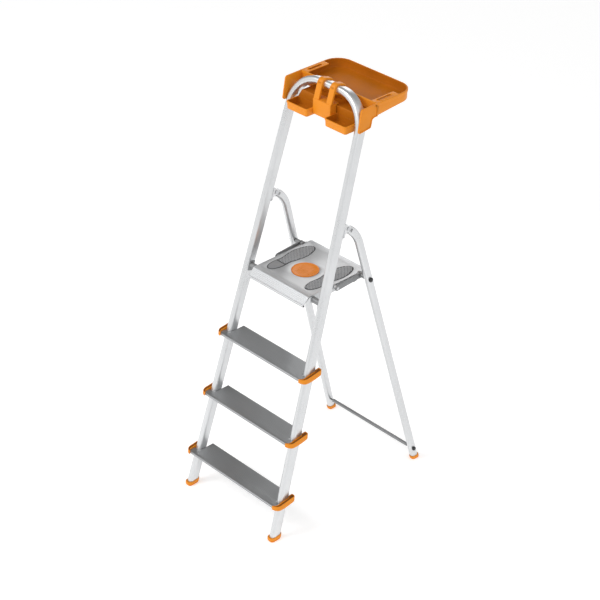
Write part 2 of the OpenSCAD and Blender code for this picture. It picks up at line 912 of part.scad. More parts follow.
module badge_ring() {
    color(orange)
        difference() {
            translate([0, badge_y, platform_z + 0.6]) cylinder(h = 1.4, r = badge_r - 6 - 3, $fn = 96);
            translate([0, badge_y, platform_z]) cylinder(h = 5, r = badge_r - 6 - 6, $fn = 96);
        }
}

// Side rail under the deck, with the pivot bore and the stay's stud
module rail(side) {
    xo = platform_w / 2;
    color(silver)
        mirror([side < 0 ? 1 : 0, 0, 0])
            difference() {
                union() {
                    across(xo - rail_t, xo)
                        polygon([[platform_front + nose_d, platform_z - deck_t],
                                 [platform_front + nose_d, platform_z - deck_t - 6],
                                 [pivot_y - 8, platform_z - rail_h], [pivot_y + 12, platform_z - rail_h],
                                 [platform_back - 60, platform_z - rail_h + 4],
                                 [platform_back - 6, platform_z - deck_t - 8],
                                 [platform_back - 6, platform_z - deck_t]]);
                    translate([xo, joint_y, joint_z])
                        rotate([0, 90, 0]) cylinder(h = rest_t + 2.9, r = 7);
                }
                across(xo - rail_t - 1, xo + 1)
                    translate([pivot_y, pivot_z]) circle(pivot_r + pin_gap);
            }
}

// Rest: a hook on the rail that sits over the inner end of the stay's bolt
rest_r = 10;
rest_open = -112;
rest_ease = 1;

module rest(side) {
    xo = platform_w / 2;
    color(steel_grey)
        mirror([side < 0 ? 1 : 0, 0, 0])
            across(xo, xo + rest_t)
                difference() {
                    union() {
                        translate([bolt_y, bolt_z]) circle(rest_r);
                        polygon([[bolt_y - 30, platform_z - rail_h + 6], [bolt_y - 28, platform_z - deck_t],
                                 [bolt_y - rest_r + 1, bolt_z + 3], [bolt_y + rest_r - 1, bolt_z + 3],
                                 [bolt_y + 24, platform_z - deck_t], [bolt_y + 22, bolt_z - 16],
                                 [bolt_y + 6, bolt_z - 17]]);
                    }
                    translate([bolt_y, bolt_z]) circle(bolt_r + seat_gap);
                    translate([bolt_y, bolt_z])
                        rotate(rest_open)
                            translate([0, -bolt_r - rest_ease]) square([60, 2 * (bolt_r + rest_ease)]);
                }
}

// Stay between the rear leg's bolt and the platform's stud
module stay(side) {
    color(steel_grey)
        mirror([side < 0 ? 1 : 0, 0, 0])
            across(stay_x, stay_x + stay_t)
                difference() {
                    union() {
                        translate([bolt_y, bolt_z]) circle(stay_eye_r);
                        translate([joint_y, joint_z]) circle(stay_eye_r);
                        translate([joint_y, joint_z])
                            rotate(line_deg)
                                translate([0, -8]) square([stay_len, 16]);
                    }
                    translate([bolt_y, bolt_z]) circle(bolt_r + pin_gap);
                    translate([joint_y, joint_z]) circle(3 + pin_gap);
                }
}

module stay_rivet(side) {
    color(silver)
        mirror([side < 0 ? 1 : 0, 0, 0])
            translate([stay_x, joint_y, joint_z])
                rotate([0, 90, 0]) {
                    cylinder(h = stay_t + 0.5, r = 3);
                    translate([0, 0, stay_t + 0.2]) cylinder(h = 2, r = 6);
                }
}

place() stile(-1);  // stile_left
place() stile(1);  // stile_right
place() hoop_bend(-1);  // hoop_bend_left
place() hoop_bend(1);  // hoop_bend_right
place() hoop_bar();
place() tread(0);  // tread_1
place() tread(1);  // tread_2
place() tread(2);  // tread_3
place() tread_rivets();
place() cap(0, -1);  // cap_1_left
place() cap(0, 1);  // cap_1_right
place() cap(1, -1);  // cap_2_left
place() cap(1, 1);  // cap_2_right
place() cap(2, -1);  // cap_3_left
place() cap(2, 1);  // cap_3_right
place() foot_front(-1);  // foot_front_left
place() foot_front(1);  // foot_front_right
place() tray_basin();
place() tray_bridge();
place() tray_pocket(-1);  // tray_pocket_left
place() tray_pocket(1);  // tray_pocket_right
place() tray_saddle();
place() tray_hook(-1);  // tray_hook_left
place() tray_hook(1);  // tray_hook_right
place() hinge_bracket(-1);  // hinge_bracket_left
place() hinge_bracket(1);  // hinge_bracket_right
place() hinge_pin(-1);  // hinge_pin_left
place() hinge_pin(1);  // hinge_pin_right
place() platform_bracket(-1);  // platform_bracket_left
place() platform_bracket(1);  // platform_bracket_right
place() platform_pin(-1);  // platform_pin_left
place() platform_pin(1);  // platform_pin_right
place() rear_leg(-1);  // rear_leg_left
place() rear_leg(1);  // rear_leg_right
place() leg_bend(-1);  // leg_bend_left
place() leg_bend(1);  // leg_bend_right
place() leg_end(-1);  // leg_end_left
place() leg_end(1);  // leg_end_right
place() foot_rear(-1);  // foot_rear_left
place() foot_rear(1);  // foot_rear_right
place() rear_crossbar();
place() crossbar_bolts();
place() stay_bolt(-1);  // stay_bolt_left
place() stay_bolt(1);  // stay_bolt_right
place() platform_deck();
place() platform_nose();
place() rail(-1);  // rail_left
place() rail(1);  // rail_right
place() grip(-1);  // grip_left
place() grip(1);  // grip_right
place() badge();
place() badge_ring();
place() rest(-1);  // rest_left
place() rest(1);  // rest_right
place() stay(-1);  // stay_left
place() stay(1);  // stay_right
place() stay_rivet(-1);  // stay_rivet_left
place() stay_rivet(1);  // stay_rivet_right
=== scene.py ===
import bpy, bmesh, math, json
from mathutils import Vector, Matrix


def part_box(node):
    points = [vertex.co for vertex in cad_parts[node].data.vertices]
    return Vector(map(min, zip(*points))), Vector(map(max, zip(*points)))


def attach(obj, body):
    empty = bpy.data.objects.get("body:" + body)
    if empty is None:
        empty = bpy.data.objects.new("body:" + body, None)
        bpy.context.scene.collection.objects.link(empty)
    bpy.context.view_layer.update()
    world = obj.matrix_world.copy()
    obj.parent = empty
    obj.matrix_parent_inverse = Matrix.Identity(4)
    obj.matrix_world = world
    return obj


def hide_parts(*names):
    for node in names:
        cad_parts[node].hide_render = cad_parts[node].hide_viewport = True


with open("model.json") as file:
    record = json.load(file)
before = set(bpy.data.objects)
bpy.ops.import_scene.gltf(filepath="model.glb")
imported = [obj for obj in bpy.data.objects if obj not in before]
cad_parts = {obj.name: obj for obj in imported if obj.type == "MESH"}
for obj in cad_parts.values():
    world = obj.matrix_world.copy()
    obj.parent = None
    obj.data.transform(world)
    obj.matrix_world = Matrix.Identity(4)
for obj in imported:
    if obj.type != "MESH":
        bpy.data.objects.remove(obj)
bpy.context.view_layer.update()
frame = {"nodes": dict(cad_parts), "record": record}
nodes = frame["nodes"]
record = frame["record"]
joints = {j["name"]: j for j in record["behaviour"]["joints"]}
sides = {"left": -1, "right": 1}
print("frame loaded,", len(nodes), "nodes")


# camera and light

camera = {"place": (3.9691, -3.7285, 4.0812), "turn": (58.43, 0.0, 46.93), "lens": 110.5, "sensor": 36,
          "farEnd": 60}
studio = {"worldGlow": 0.90, "shadeGlow": 0.22, "shadeSide": (-0.59, 0.53, 0.61), "shadeStart": 0.30,
          "shadeEnd": 0.92}
# each lamp: place, aim, width, height (None for a round lamp), power
lamps = {"key": ((-1.6, -3.4, 4.2), (0, 0, 0.7), 2.6, None, 84),
         "fill": ((4.2, -0.6, 2.2), (0, 0, 0.8), 2.4, None, 8),
         "back": ((-0.72, 1.08, 1.50), (0.20, -0.25, 0.40), 0.55, 1.30, 3.4)}
floorLook = {"half": 14, "tone": 0.88, "glow": 0.38, "rough": 0.85}


def setCamera():
    lens = bpy.data.cameras.new("mainCamera")
    lens.lens = camera["lens"]
    lens.sensor_width = camera["sensor"]
    lens.clip_end = camera["farEnd"]
    cam = bpy.data.objects.new("mainCamera", lens)
    cam.location = camera["place"]
    cam.rotation_euler = [math.radians(a) for a in camera["turn"]]
    bpy.context.scene.collection.objects.link(cam)
    bpy.context.scene.camera = cam


def softLight(name, place, aim, width, height, power):
    data = bpy.data.lights.new(name, "AREA")
    data.shape = "RECTANGLE" if height else "DISK"
    data.size = width
    if height:
        data.size_y = height
    data.energy = power
    lamp = bpy.data.objects.new(name, data)
    lamp.location = place
    lamp.rotation_euler = (Vector(aim) - Vector(place)).to_track_quat("-Z", "Y").to_euler()
    bpy.context.scene.collection.objects.link(lamp)


def addNode(tree, kind, values=None, feeds=None):
    # a node with its fixed values and the outputs that feed it
    node = tree.nodes.new("ShaderNode" + kind)
    for socket, value in (values or {}).items():
        node.inputs[socket].default_value = value
    for socket, output in (feeds or {}).items():
        tree.links.new(output, node.inputs[socket])
    return node


def setStudio():
    scene = bpy.context.scene
    world = bpy.data.worlds.new("studio")
    world.use_nodes = True
    tree = world.node_tree
    glow = tree.nodes["Background"]
    glow.inputs["Color"].default_value = (1, 1, 1, 1)
    # the far side of the room is darker, which shades every level face
    coords = addNode(tree, "TexCoord")
    facing = addNode(tree, "VectorMath", {1: studio["shadeSide"]}, {0: coords.outputs["Generated"]})
    facing.operation = "DOT_PRODUCT"
    brightness = addNode(tree, "MapRange",
                         {"From Min": studio["shadeStart"], "From Max": studio["shadeEnd"],
                          "To Min": studio["worldGlow"], "To Max": studio["shadeGlow"]},
                         {"Value": facing.outputs["Value"]})
    tree.links.new(brightness.outputs["Result"], glow.inputs["Strength"])
    scene.world = world
    scene.view_settings.view_transform = "Standard"
    for name, lamp in lamps.items():
        softLight(name, *lamp)
    print("camera and light set")



# finishes

# what a finish has when its own entry does not say
plainFinish = {"metal": 0.0, "streak": (1, 1, 1), "shine": 0.5, "cloud": 6.0, "scuff": 0}
finishes = {
    "tube": {"colour": (0.72, 0.73, 0.74), "shade": 0.90, "metal": 0.86, "rough": (0.24, 0.36),
             "streak": (90, 90, 3), "grain": 9.0, "bump": 0.06},
    "tread": {"colour": (0.40, 0.405, 0.41), "shade": 0.90, "metal": 0.85, "rough": (0.30, 0.38),
              "streak": (3, 90, 90), "grain": 7.0, "bump": 0.03, "scuff": 0.06},
    "platform": {"colour": (0.62, 0.63, 0.64), "shade": 0.90, "metal": 0.78, "rough": (0.34, 0.48),
                 "streak": (5, 110, 110), "grain": 8.0, "bump": 0.07, "scuff": 0.05},
    "steel": {"colour": (0.30, 0.305, 0.31), "shade": 0.75, "metal": 0.55, "rough": (0.34, 0.50),
              "streak": (30, 30, 30), "grain": 22.0, "bump": 0.12},
    "rivet": {"colour": (0.62, 0.63, 0.65), "shade": 0.82, "metal": 0.9, "rough": (0.22, 0.36),
              "streak": (60, 60, 60), "grain": 10.0, "bump": 0.05},
    "orange": {"colour": (0.80, 0.268, 0.014), "shade": 0.90, "shine": 0.24, "rough": (0.36, 0.48),
               "grain": 950.0, "bump": 0.10, "cloud": 14.0},
    # the same orange plastic darkened for inner faces: painted shade, not a different colour
    "orangeInside": {"colour": (0.52, 0.150, 0.004), "shade": 0.80, "shine": 0.18, "rough": (0.42, 0.55),
                     "grain": 850.0, "bump": 0.14, "cloud": 11.0},
    "badge": {"colour": (0.76, 0.225, 0.012), "shade": 0.88, "shine": 0.35, "rough": (0.22, 0.34),
              "grain": 700.0, "bump": 0.05, "cloud": 30.0},
    # dark brown for the caps' recess floors: painted shade in the recess
    "capPaintedShade": {"colour": (0.22, 0.072, 0.008), "shade": 0.80, "shine": 0.28, "rough": (0.45, 0.55),
               "grain": 900.0, "bump": 0.10, "cloud": 20.0},
    "black": {"colour": (0.018, 0.018, 0.020), "shade": 0.70, "rough": (0.38, 0.55),
              "grain": 900.0, "bump": 0.12, "cloud": 25.0},
    "grip": {"colour": (0.085, 0.088, 0.092), "shade": 0.82, "shine": 0.28, "rough": (0.55, 0.72),
             "grain": 1200.0, "bump": 0.20, "cloud": 25.0},
    "gripHeel": {"colour": (0.27, 0.275, 0.28), "shade": 0.88, "shine": 0.28, "rough": (0.50, 0.62),
                 "grain": 1100.0, "bump": 0.12, "cloud": 30.0},
    "gripStud": {"colour": (0.42, 0.43, 0.44), "shade": 0.84, "shine": 0.28, "rough": (0.45, 0.60),
                 "grain": 1100.0, "bump": 0.15, "cloud": 40.0},
}
drift = {"grainShare": 0.45, "cloudShare": 0.55, "grainDetail": 4, "cloudDetail": 3, "darkAt": 0.36,
         "lightAt": 0.62, "smoothAt": 0.3, "roughAt": 0.7, "bumpDepth": 0.0006}
scuffs = {"scale": 26, "detail": 6, "rough": 0.7, "start": 0.56, "end": 0.72, "tone": 0.55}
made = {}


def finish(name):
    if name in made:
        return made[name]
    look = {**plainFinish, **finishes[name]}
    mat = bpy.data.materials.new(name)
    mat.use_nodes = True
    tree = mat.node_tree
    shader = tree.nodes["Principled BSDF"]
    shader.inputs["Metallic"].default_value = look["metal"]
    shader.inputs["Specular IOR Level"].default_value = look["shine"]
    place = addNode(tree, "TexCoord").outputs["Object"]
    stretch = addNode(tree, "Mapping", {"Scale": look["streak"]}, {"Vector": place})
    grain = addNode(tree, "TexNoise", {"Scale": look["grain"], "Detail": drift["grainDetail"]},
                    {"Vector": stretch.outputs["Vector"]}).outputs["Fac"]
    cloud = addNode(tree, "TexNoise", {"Scale": look["cloud"], "Detail": drift["cloudDetail"]},
                    {"Vector": place}).outputs["Fac"]
    # colour drifts slowly over the piece and finely along the grain
    slow = addNode(tree, "Math", {1: drift["cloudShare"]}, {0: cloud})
    slow.operation = "MULTIPLY"
    mixed = addNode(tree, "Math", {1: drift["grainShare"]}, {0: grain, 2: slow.outputs[0]})
    mixed.operation = "MULTIPLY_ADD"
    ramp = addNode(tree, "ValToRGB", None, {"Fac": mixed.outputs[0]})
    dark, light = ramp.color_ramp.elements
    dark.position = drift["darkAt"]
    dark.color = (*[c * look["shade"] for c in look["colour"]], 1)
    light.position = drift["lightAt"]
    light.color = (*look["colour"], 1)
    colour = ramp.outputs["Color"]
    if look["scuff"]:
        # shoe scuffs: sparse darker patches
        scuff = addNode(tree, "TexNoise", {"Scale": scuffs["scale"], "Detail": scuffs["detail"],
                                           "Roughness": scuffs["rough"]}, {"Vector": place})
        sparse = addNode(tree, "MapRange", {"From Min": scuffs["start"], "From Max": scuffs["end"],
                                            "To Max": look["scuff"]}, {"Value": scuff.outputs["Fac"]})
        worn = addNode(tree, "Mix")
        worn.data_type = "RGBA"
        worn.inputs[7].default_value = (*[c * scuffs["tone"] for c in look["colour"]], 1)
        tree.links.new(sparse.outputs["Result"], worn.inputs[0])
        tree.links.new(colour, worn.inputs[6])
        colour = worn.outputs[2]
    tree.links.new(colour, shader.inputs["Base Color"])
    polish = addNode(tree, "MapRange", {"From Min": drift["smoothAt"], "From Max": drift["roughAt"],
                                        "To Min": look["rough"][0], "To Max": look["rough"][1]},
                     {"Value": mixed.outputs[0]})
    tree.links.new(polish.outputs["Result"], shader.inputs["Roughness"])
    bump = addNode(tree, "Bump", {"Strength": look["bump"], "Distance": drift["bumpDepth"]},
                   {"Height": grain})
    tree.links.new(bump.outputs["Normal"], shader.inputs["Normal"])
    made[name] = mat
    return mat



# mesh helpers

def addPiece(name, mesh, look, body, stands=(), sharp=38):
    for m in (look if isinstance(look, (list, tuple)) else [look]):
        mesh.materials.append(finish(m))
    mesh.shade_smooth()
    mesh.set_sharp_from_angle(angle=math.radians(sharp))
    piece = bpy.data.objects.new(name, mesh)
    bpy.context.scene.collection.objects.link(piece)
    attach(piece, body)
    if stands:
        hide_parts(*stands)
    return piece


mergeGap = 1e-6


def cleanMesh(mesh, splitBig):
    bm = bmesh.new()
    bm.from_mesh(mesh)
    bmesh.ops.remove_doubles(bm, verts=bm.verts, dist=mergeGap)
    bmesh.ops.dissolve_degenerate(bm, edges=bm.edges, dist=mergeGap)
    if splitBig:
        bmesh.ops.triangulate(bm, faces=[f for f in bm.faces if len(f.verts) > 4])
    bmesh.ops.recalc_face_normals(bm, faces=bm.faces)
    bm.to_mesh(mesh)
    bm.free()
    return mesh


def meshFrom(name, verts, faces):
    mesh = bpy.data.meshes.new(name)
    mesh.from_pydata([tuple(v) for v in verts], [], faces)
    return cleanMesh(mesh, True)


def centreOf(box):
    return (box[0] + box[1]) / 2


def level(z):
    return Matrix.Translation((0, 0, z))


def loft(rings, wrap=False):
    # quads between rings of equal length, with the first and last ring filled
    count = len(rings[0])
    verts = [p for ring in rings for p in ring]
    faces = []
    for i in range(len(rings) - (0 if wrap else 1)):
        k = (i + 1) % len(rings)
        for j in range(count):
            n = (j + 1) % count
            faces.append((i * count + j, i * count + n, k * count + n, k * count + j))
    if not wrap:
        faces.append(tuple(range(count)))
        faces.append(tuple((len(rings) - 1) * count + j for j in range(count)))
    return verts, faces


def roundedLoop(width, depth, radius, steps=6):
    radius = min(radius, width / 2 - 1e-5, depth / 2 - 1e-5)
    points = []
    for quarter in range(4):
        cx = (width / 2 - radius) * (1 if quarter in (0, 3) else -1)
        cy = (depth / 2 - radius) * (1 if quarter in (0, 1) else -1)
        for i in range(steps + 1):
            a = math.radians(90 * quarter + 90 * i / steps)
            points.append((cx + radius * math.cos(a), cy + radius * math.sin(a)))
    return points


def arcPoints(centre, radius, start, end, steps):
    return [(centre[0] + radius * math.cos(math.radians(start + (end - start) * i / steps)),
             centre[1] + radius * math.sin(math.radians(start + (end - start) * i / steps)))
            for i in range(steps + 1)]


def insetLoop(points, amount):
    # moves a counter-clockwise loop inwards by a number or by a function of the point
    moved = []
    count = len(points)
    for i, p in enumerate(points):
        a, b = points[i - 1], points[(i + 1) % count]
        e1 = Vector((p[0] - a[0], p[1] - a[1])).normalized()
        e2 = Vector((b[0] - p[0], b[1] - p[1])).normalized()
        n1, n2 = Vector((-e1.y, e1.x)), Vector((-e2.y, e2.x))
        n = n1 + n2
        n = n / max(0.45, n.dot(n1)) if n.length > 1e-9 else n1
        d = amount(p) if callable(amount) else amount
        moved.append((p[0] + n.x * d, p[1] + n.y * d))
    return moved


def plateMesh(name, loops, thickness, bevel, place):
    # flat plate with holes and rounded edges: first loop is the outline
    curve = bpy.data.curves.new(name, "CURVE")
    curve.dimensions = "2D"
    curve.fill_mode = "BOTH"
    curve.extrude = thickness / 2 - bevel
    curve.bevel_depth = bevel
    curve.bevel_resolution = 2
    curve.offset = -bevel
    for loop in loops:
        spline = curve.splines.new("POLY")
        spline.points.add(len(loop) - 1)
        for point, (x, y) in zip(spline.points, loop):
            point.co = (x, y, 0, 1)
        spline.use_cyclic_u = True
    holder = bpy.data.objects.new(name, curve)
    bpy.context.scene.collection.objects.link(holder)
    mesh = bpy.data.meshes.new_from_object(holder)
    bpy.data.objects.remove(holder)
    bpy.data.curves.remove(curve)
    mesh.transform(place)
    return cleanMesh(mesh, False)


def sideways(x):
    # takes a loop drawn as (y, z) to a plate centred on that x
    return Matrix(((0, 0, 1, x), (1, 0, 0, 0), (0, 1, 0, 0), (0, 0, 0, 1)))


def joinMeshes(name, meshes):
    bm = bmesh.new()
    for part in meshes:
        bm.from_mesh(part)
        bpy.data.meshes.remove(part)
    whole = bpy.data.meshes.new(name)
    bm.to_mesh(whole)
    bm.free()
    return whole


def turnedMesh(name, profile, centre, along, steps):
    # profile is a list of (distance along the axis, radius)
    along = Vector(along).normalized()
    u = along.orthogonal().normalized()
    w = along.cross(u)
    rings = []
    for d, r in profile:
        rings.append([Vector(centre) + along * d + (u * math.cos(a) + w * math.sin(a)) * r
                      for a in (2 * math.pi * i / steps for i in range(steps))])
    return meshFrom(name, *loft(rings))


def spunMesh(name, profile, x, y, z, side, steps):
    # turned about an axis across the ladder, from x outwards
    return turnedMesh(name, profile, (side * x, y, z), (side, 0, 0), steps)


def domed(start, end, radius, edge):
    # profile of a round head with a rounded outer edge
    points = [(start, radius)]
    for i in range(6):
        a = math.radians(90 * i / 5)
        points.append((end - edge + edge * math.sin(a), radius - edge + edge * math.cos(a)))
    points.append((end + edge * 0.25, max(radius * 0.35, 0.0006)))
    return points


def profileMesh(name, loop, ends, bevel=0.0):
    # a (y, z) loop run across the ladder, its ends at x = -ends(y, z) and +ends(y, z)
    rings = []
    for side in (-1, 1):
        if bevel:
            inner = insetLoop(loop, bevel)
            outerRing = [(side * (ends(y, z) - bevel), y, z) for y, z in loop]
            innerRing = [(side * ends(y, z), y2, z2) for (y, z), (y2, z2) in zip(loop, inner)]
            rings += [innerRing, outerRing] if side < 0 else [outerRing, innerRing]
        else:
            rings.append([(side * ends(y, z), y, z) for y, z in loop])
    return meshFrom(name, *loft(rings))


# front frame: one oval tube from foot to foot

frontTube = {"lean": 17.5, "splay": 2.25, "width": 0.025, "depth": 0.040, "corner": 0.011,
             "bendRadius": 0.115, "endHeight": 0.0062, "pathStart": 0.020, "steps": 24}
lean = math.radians(frontTube["lean"])
splay = math.radians(frontTube["splay"])
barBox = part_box("hoop_bar")
barAxis = centreOf(barBox)
planeY = barAxis.y - barAxis.z * math.tan(lean)
barV = barAxis.z / math.cos(lean)
arcV = barV - frontTube["bendRadius"]
arcU = barBox[1].x
tangentU = arcU + frontTube["bendRadius"] * math.cos(splay)
tangentV = arcV + frontTube["bendRadius"] * math.sin(splay)


def onPlane(u, v, out=0.0):
    # u across, v up the leaning plane, out towards the front
    y = planeY + v * math.sin(lean) - out * math.cos(lean)
    return Vector((u, y, v * math.cos(lean) + out * math.sin(lean)))


def stileX(z):
    return tangentU + (tangentV - z / math.cos(lean)) * math.tan(splay)


def stileY(z):
    return planeY + z * math.tan(lean)


def sweepSection(path, section):
    # path holds (point, across direction, depth direction)
    return [[p + a * x + d * y for x, y in section] for p, a, d in path]


def levelEnd(ring, near, height):
    # slides a ring's points along the tube until they lie level
    moved = []
    for p, q in zip(ring, near):
        p, q = Vector(p), Vector(q)
        moved.append(p + (p - q) * ((height - p.z) / (p.z - q.z)))
    return moved


def makeFrontTube():
    t = frontTube
    section = roundedLoop(t["width"], t["depth"], t["corner"], 8)
    out = Vector((0, -math.cos(lean), math.sin(lean)))
    path = []
    footV = t["pathStart"]
    r = t["bendRadius"]
    points = []
    steps = t["steps"]
    for i in range(steps + 1):
        v = footV + (tangentV - footV) * i / steps
        points.append((-(tangentU + (tangentV - v) * math.tan(splay)), v, 90 - t["splay"]))
    for i in range(1, steps + 1):
        a = math.radians(t["splay"] + (90 - t["splay"]) * i / steps)
        points.append((-(arcU + r * math.cos(a)), arcV + r * math.sin(a), 90 - math.degrees(a)))
    mirrored = [(-u, v, -h) for u, v, h in reversed(points)]
    for u, v, heading in points + mirrored:
        h = math.radians(heading)
        flat = onPlane(math.cos(h), math.sin(h)) - onPlane(0, 0)
        across = out.cross(flat).normalized()
        path.append((onPlane(u, v), across, out))
    rings = sweepSection(path, section)
    for last, near in ((0, 1), (-1, -2)):
        rings[last] = levelEnd(rings[last], rings[near], t["endHeight"])
    mesh = meshFrom("frontTube", *loft(rings))
    addPiece("frontTube", mesh, "tube", "front_frame",
             ["stile_left", "stile_right", "hoop_bend_left", "hoop_bend_right", "hoop_bar"])
    print("front tube done")


# rear legs

rearTube = {"lean": 15.0, "endLean": 50.0, "width": 0.020, "depth": 0.030, "corner": 0.009,
            "bendRadius": 0.130, "tail": 0.024, "collar": 0.0125, "endHeight": 0.0062, "pathEnd": 0.020,
            "bendSteps": 18, "runSteps": 16}
hingeAt = Vector(joints["rear_fold"]["pos_m"])
hingeX = centreOf(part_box("hinge_pin_right")).x
legSplay = math.atan(math.tan(splay) / math.cos(lean))


def legPlace(side, y, z):
    drop = hingeAt.z - z
    return Vector((side * (hingeX + drop * math.sin(legSplay)), y, hingeAt.z - drop * math.cos(legSplay)))


def legPath():
    # (y, z, angle from upright) from the hinge down to the floor
    t = rearTube
    end, low = math.radians(t["endLean"]), math.radians(t["lean"])
    first = (hingeAt.y + t["collar"] * math.sin(end), hingeAt.z - t["collar"] * math.cos(end), t["endLean"])
    bendEnd = (hingeAt.y + t["tail"] * math.sin(end), hingeAt.z - t["tail"] * math.cos(end))
    centre = (bendEnd[0] - t["bendRadius"] * math.cos(end), bendEnd[1] - t["bendRadius"] * math.sin(end))
    points = [first]
    for i in range(t["bendSteps"] + 1):
        a = t["endLean"] + (t["lean"] - t["endLean"]) * i / t["bendSteps"]
        points.append((centre[0] + t["bendRadius"] * math.cos(math.radians(a)),
                       centre[1] + t["bendRadius"] * math.sin(math.radians(a)), a))
    y, z, a = points[-1]
    run = (z - t["pathEnd"]) / math.cos(low)
    for i in range(1, t["runSteps"] + 1):
        s = i / t["runSteps"]
        points.append((y + run * math.sin(low) * s, z - run * math.cos(low) * s, t["lean"]))
    return points


def makeRearLegs():
    t = rearTube
    section = roundedLoop(t["width"], t["depth"], t["corner"], 8)
    for sideName, side in sides.items():
        rings = []
        for y, z, a in legPath():
            a = math.radians(a)
            ring = []
            for sx, sd in section:
                p = legPlace(side, y + sd * math.cos(a), z + sd * math.sin(a))
                ring.append((p.x + sx * math.cos(legSplay), p.y, p.z + side * sx * math.sin(legSplay)))
            rings.append(ring)
        rings[-1] = levelEnd(rings[-1], rings[-2], t["endHeight"])
        mesh = meshFrom("rearLeg", *loft(rings))
        addPiece("rearLeg_" + sideName, mesh, "tube", "rear_frame",
                 ["rear_leg_" + sideName, "leg_bend_" + sideName])
    print("rear legs done")


# treads and their end caps

tread = {"plate": 0.0025, "ridgePitch": 0.0058, "ridgeRise": 0.0004, "noseRadius": 0.004, "lip": 0.009,
         "cornerRadius": 0.014, "endGap": 0.0015, "ridgeStart": 0.009, "ridgeEnd": 0.008, "backRadius": 0.003,
         "curlRadius": 0.0035, "flange": 0.003, "flangeBevel": 0.0006}


def treadLoop(f, b, top, bottom):
    t = tread
    lipAt = top - t["lip"]
    loop = [(f + 0.0025, lipAt - 0.0005), (f + 0.0006, lipAt), (f, lipAt + 0.001)]
    loop += arcPoints((f + t["noseRadius"], top - t["noseRadius"]), t["noseRadius"], 180, 90, 6)
    y = f + t["ridgeStart"]
    while y < b - t["ridgeEnd"]:
        loop += [(y, top - t["ridgeRise"]), (y + 0.0008, top - 0.0001), (y + 0.0024, top - 0.0001),
                 (y + 0.0032, top - t["ridgeRise"])]
        y += t["ridgePitch"]
    loop += arcPoints((b - t["backRadius"], top - t["backRadius"]), t["backRadius"], 90, 0, 4)
    loop += [(b, bottom + 0.004)]
    loop += arcPoints((b - t["curlRadius"], bottom + 0.003), t["curlRadius"], 0, -120, 4)
    loop += [(b - t["plate"] - 0.001, bottom + 0.004), (b - t["plate"], top - 0.006),
             (b - t["plate"] - 0.003, top - t["plate"] - t["ridgeRise"])]
    loop += [(f + 0.0065, top - t["plate"] - t["ridgeRise"]), (f + t["plate"], top - 0.0065)]
    loop.reverse()
    return loop


def makeTreads():
    for i in (1, 2, 3):
        name = "tread_%d" % i
        lo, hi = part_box(name)
        y0 = stileY(hi.z)
        stileFront = y0 - frontTube["depth"] / 2 / math.cos(lean) - 0.001
        inner = stileX(hi.z) - frontTube["width"] / 2 - tread["endGap"]
        r = tread["cornerRadius"]

        def endsAt(y, z):
            if y > stileFront:
                return inner
            if y < lo.y + r:
                return hi.x - r + math.sqrt(max(0, r * r - (lo.y + r - y) ** 2))
            return hi.x - 0.0002

        loop = treadLoop(lo.y, hi.y, hi.z, lo.z)
        whole = []
        for k, p in enumerate(loop):
            q = loop[(k + 1) % len(loop)]
            whole.append(p)
            if (p[0] - stileFront) * (q[0] - stileFront) < 0:
                cut = (stileFront - p[0]) / (q[0] - p[0])
                z = p[1] + (q[1] - p[1]) * cut
                pair = [(stileFront - 1e-5, z), (stileFront + 1e-5, z)]
                whole += pair if q[0] > p[0] else pair[::-1]
        plate = profileMesh("treadPlate", whole, endsAt)
        flanges = []
        for side in (-1, 1):
            run = [(y0 - 0.013, hi.z - 0.004), (y0 - 0.013, hi.z - 0.012), (y0 - 0.004, lo.z),
                   (hi.y - 0.002, lo.z), (hi.y - 0.002, hi.z - 0.004)]
            flanges.append(plateMesh("flange", [run], tread["flange"], tread["flangeBevel"],
                                     sideways(side * (inner - 0.0016))))
        mesh = joinMeshes(name, [plate] + flanges)
        addPiece("treadPlate_%d" % i, mesh, "tread", "front_frame", [name], 30)
    print("treads done")


cap = {"out": 0.028, "in": 0.0085, "back": 0.038, "frontReach": 0.052, "frontRadius": 0.024,
       "rearRadius": 0.010, "edge": 0.0016, "recess": 0.0030, "recessRim": 0.0024, "backTilt": 0.12}


def ramped(value, start, length):
    # 0 before start, 1 after start + length, straight between
    return min(1, max(0, (value - start) / length))


def capLoop():
    # outline about the stile's axis, outwards and backwards, counter-clockwise
    c = cap
    inner = frontTube["width"] / 2 + 0.0013
    half = frontTube["depth"] / 2 / math.cos(lean)
    start = c["out"] - c["frontRadius"]
    loop = arcPoints((start, -c["frontReach"] + c["frontRadius"]), c["frontRadius"], -90, 0, 12)
    loop += [(c["out"], -0.012), (c["out"], 0.008)]
    loop += arcPoints((c["out"] - c["rearRadius"], c["back"] - c["rearRadius"]), c["rearRadius"], 0, 90, 7)
    loop += [(c["in"] + 0.002, c["back"]), (c["in"], c["back"] - 0.002), (c["in"], half + 0.0022)]
    loop += arcPoints((inner - 0.010, half - 0.0094), 0.010, 60, 0, 5)
    loop += [(inner, -0.010), (inner, -0.028)]
    loop += arcPoints((inner - 0.0145, -0.0345), 0.0145, -4, -66, 6)
    return loop


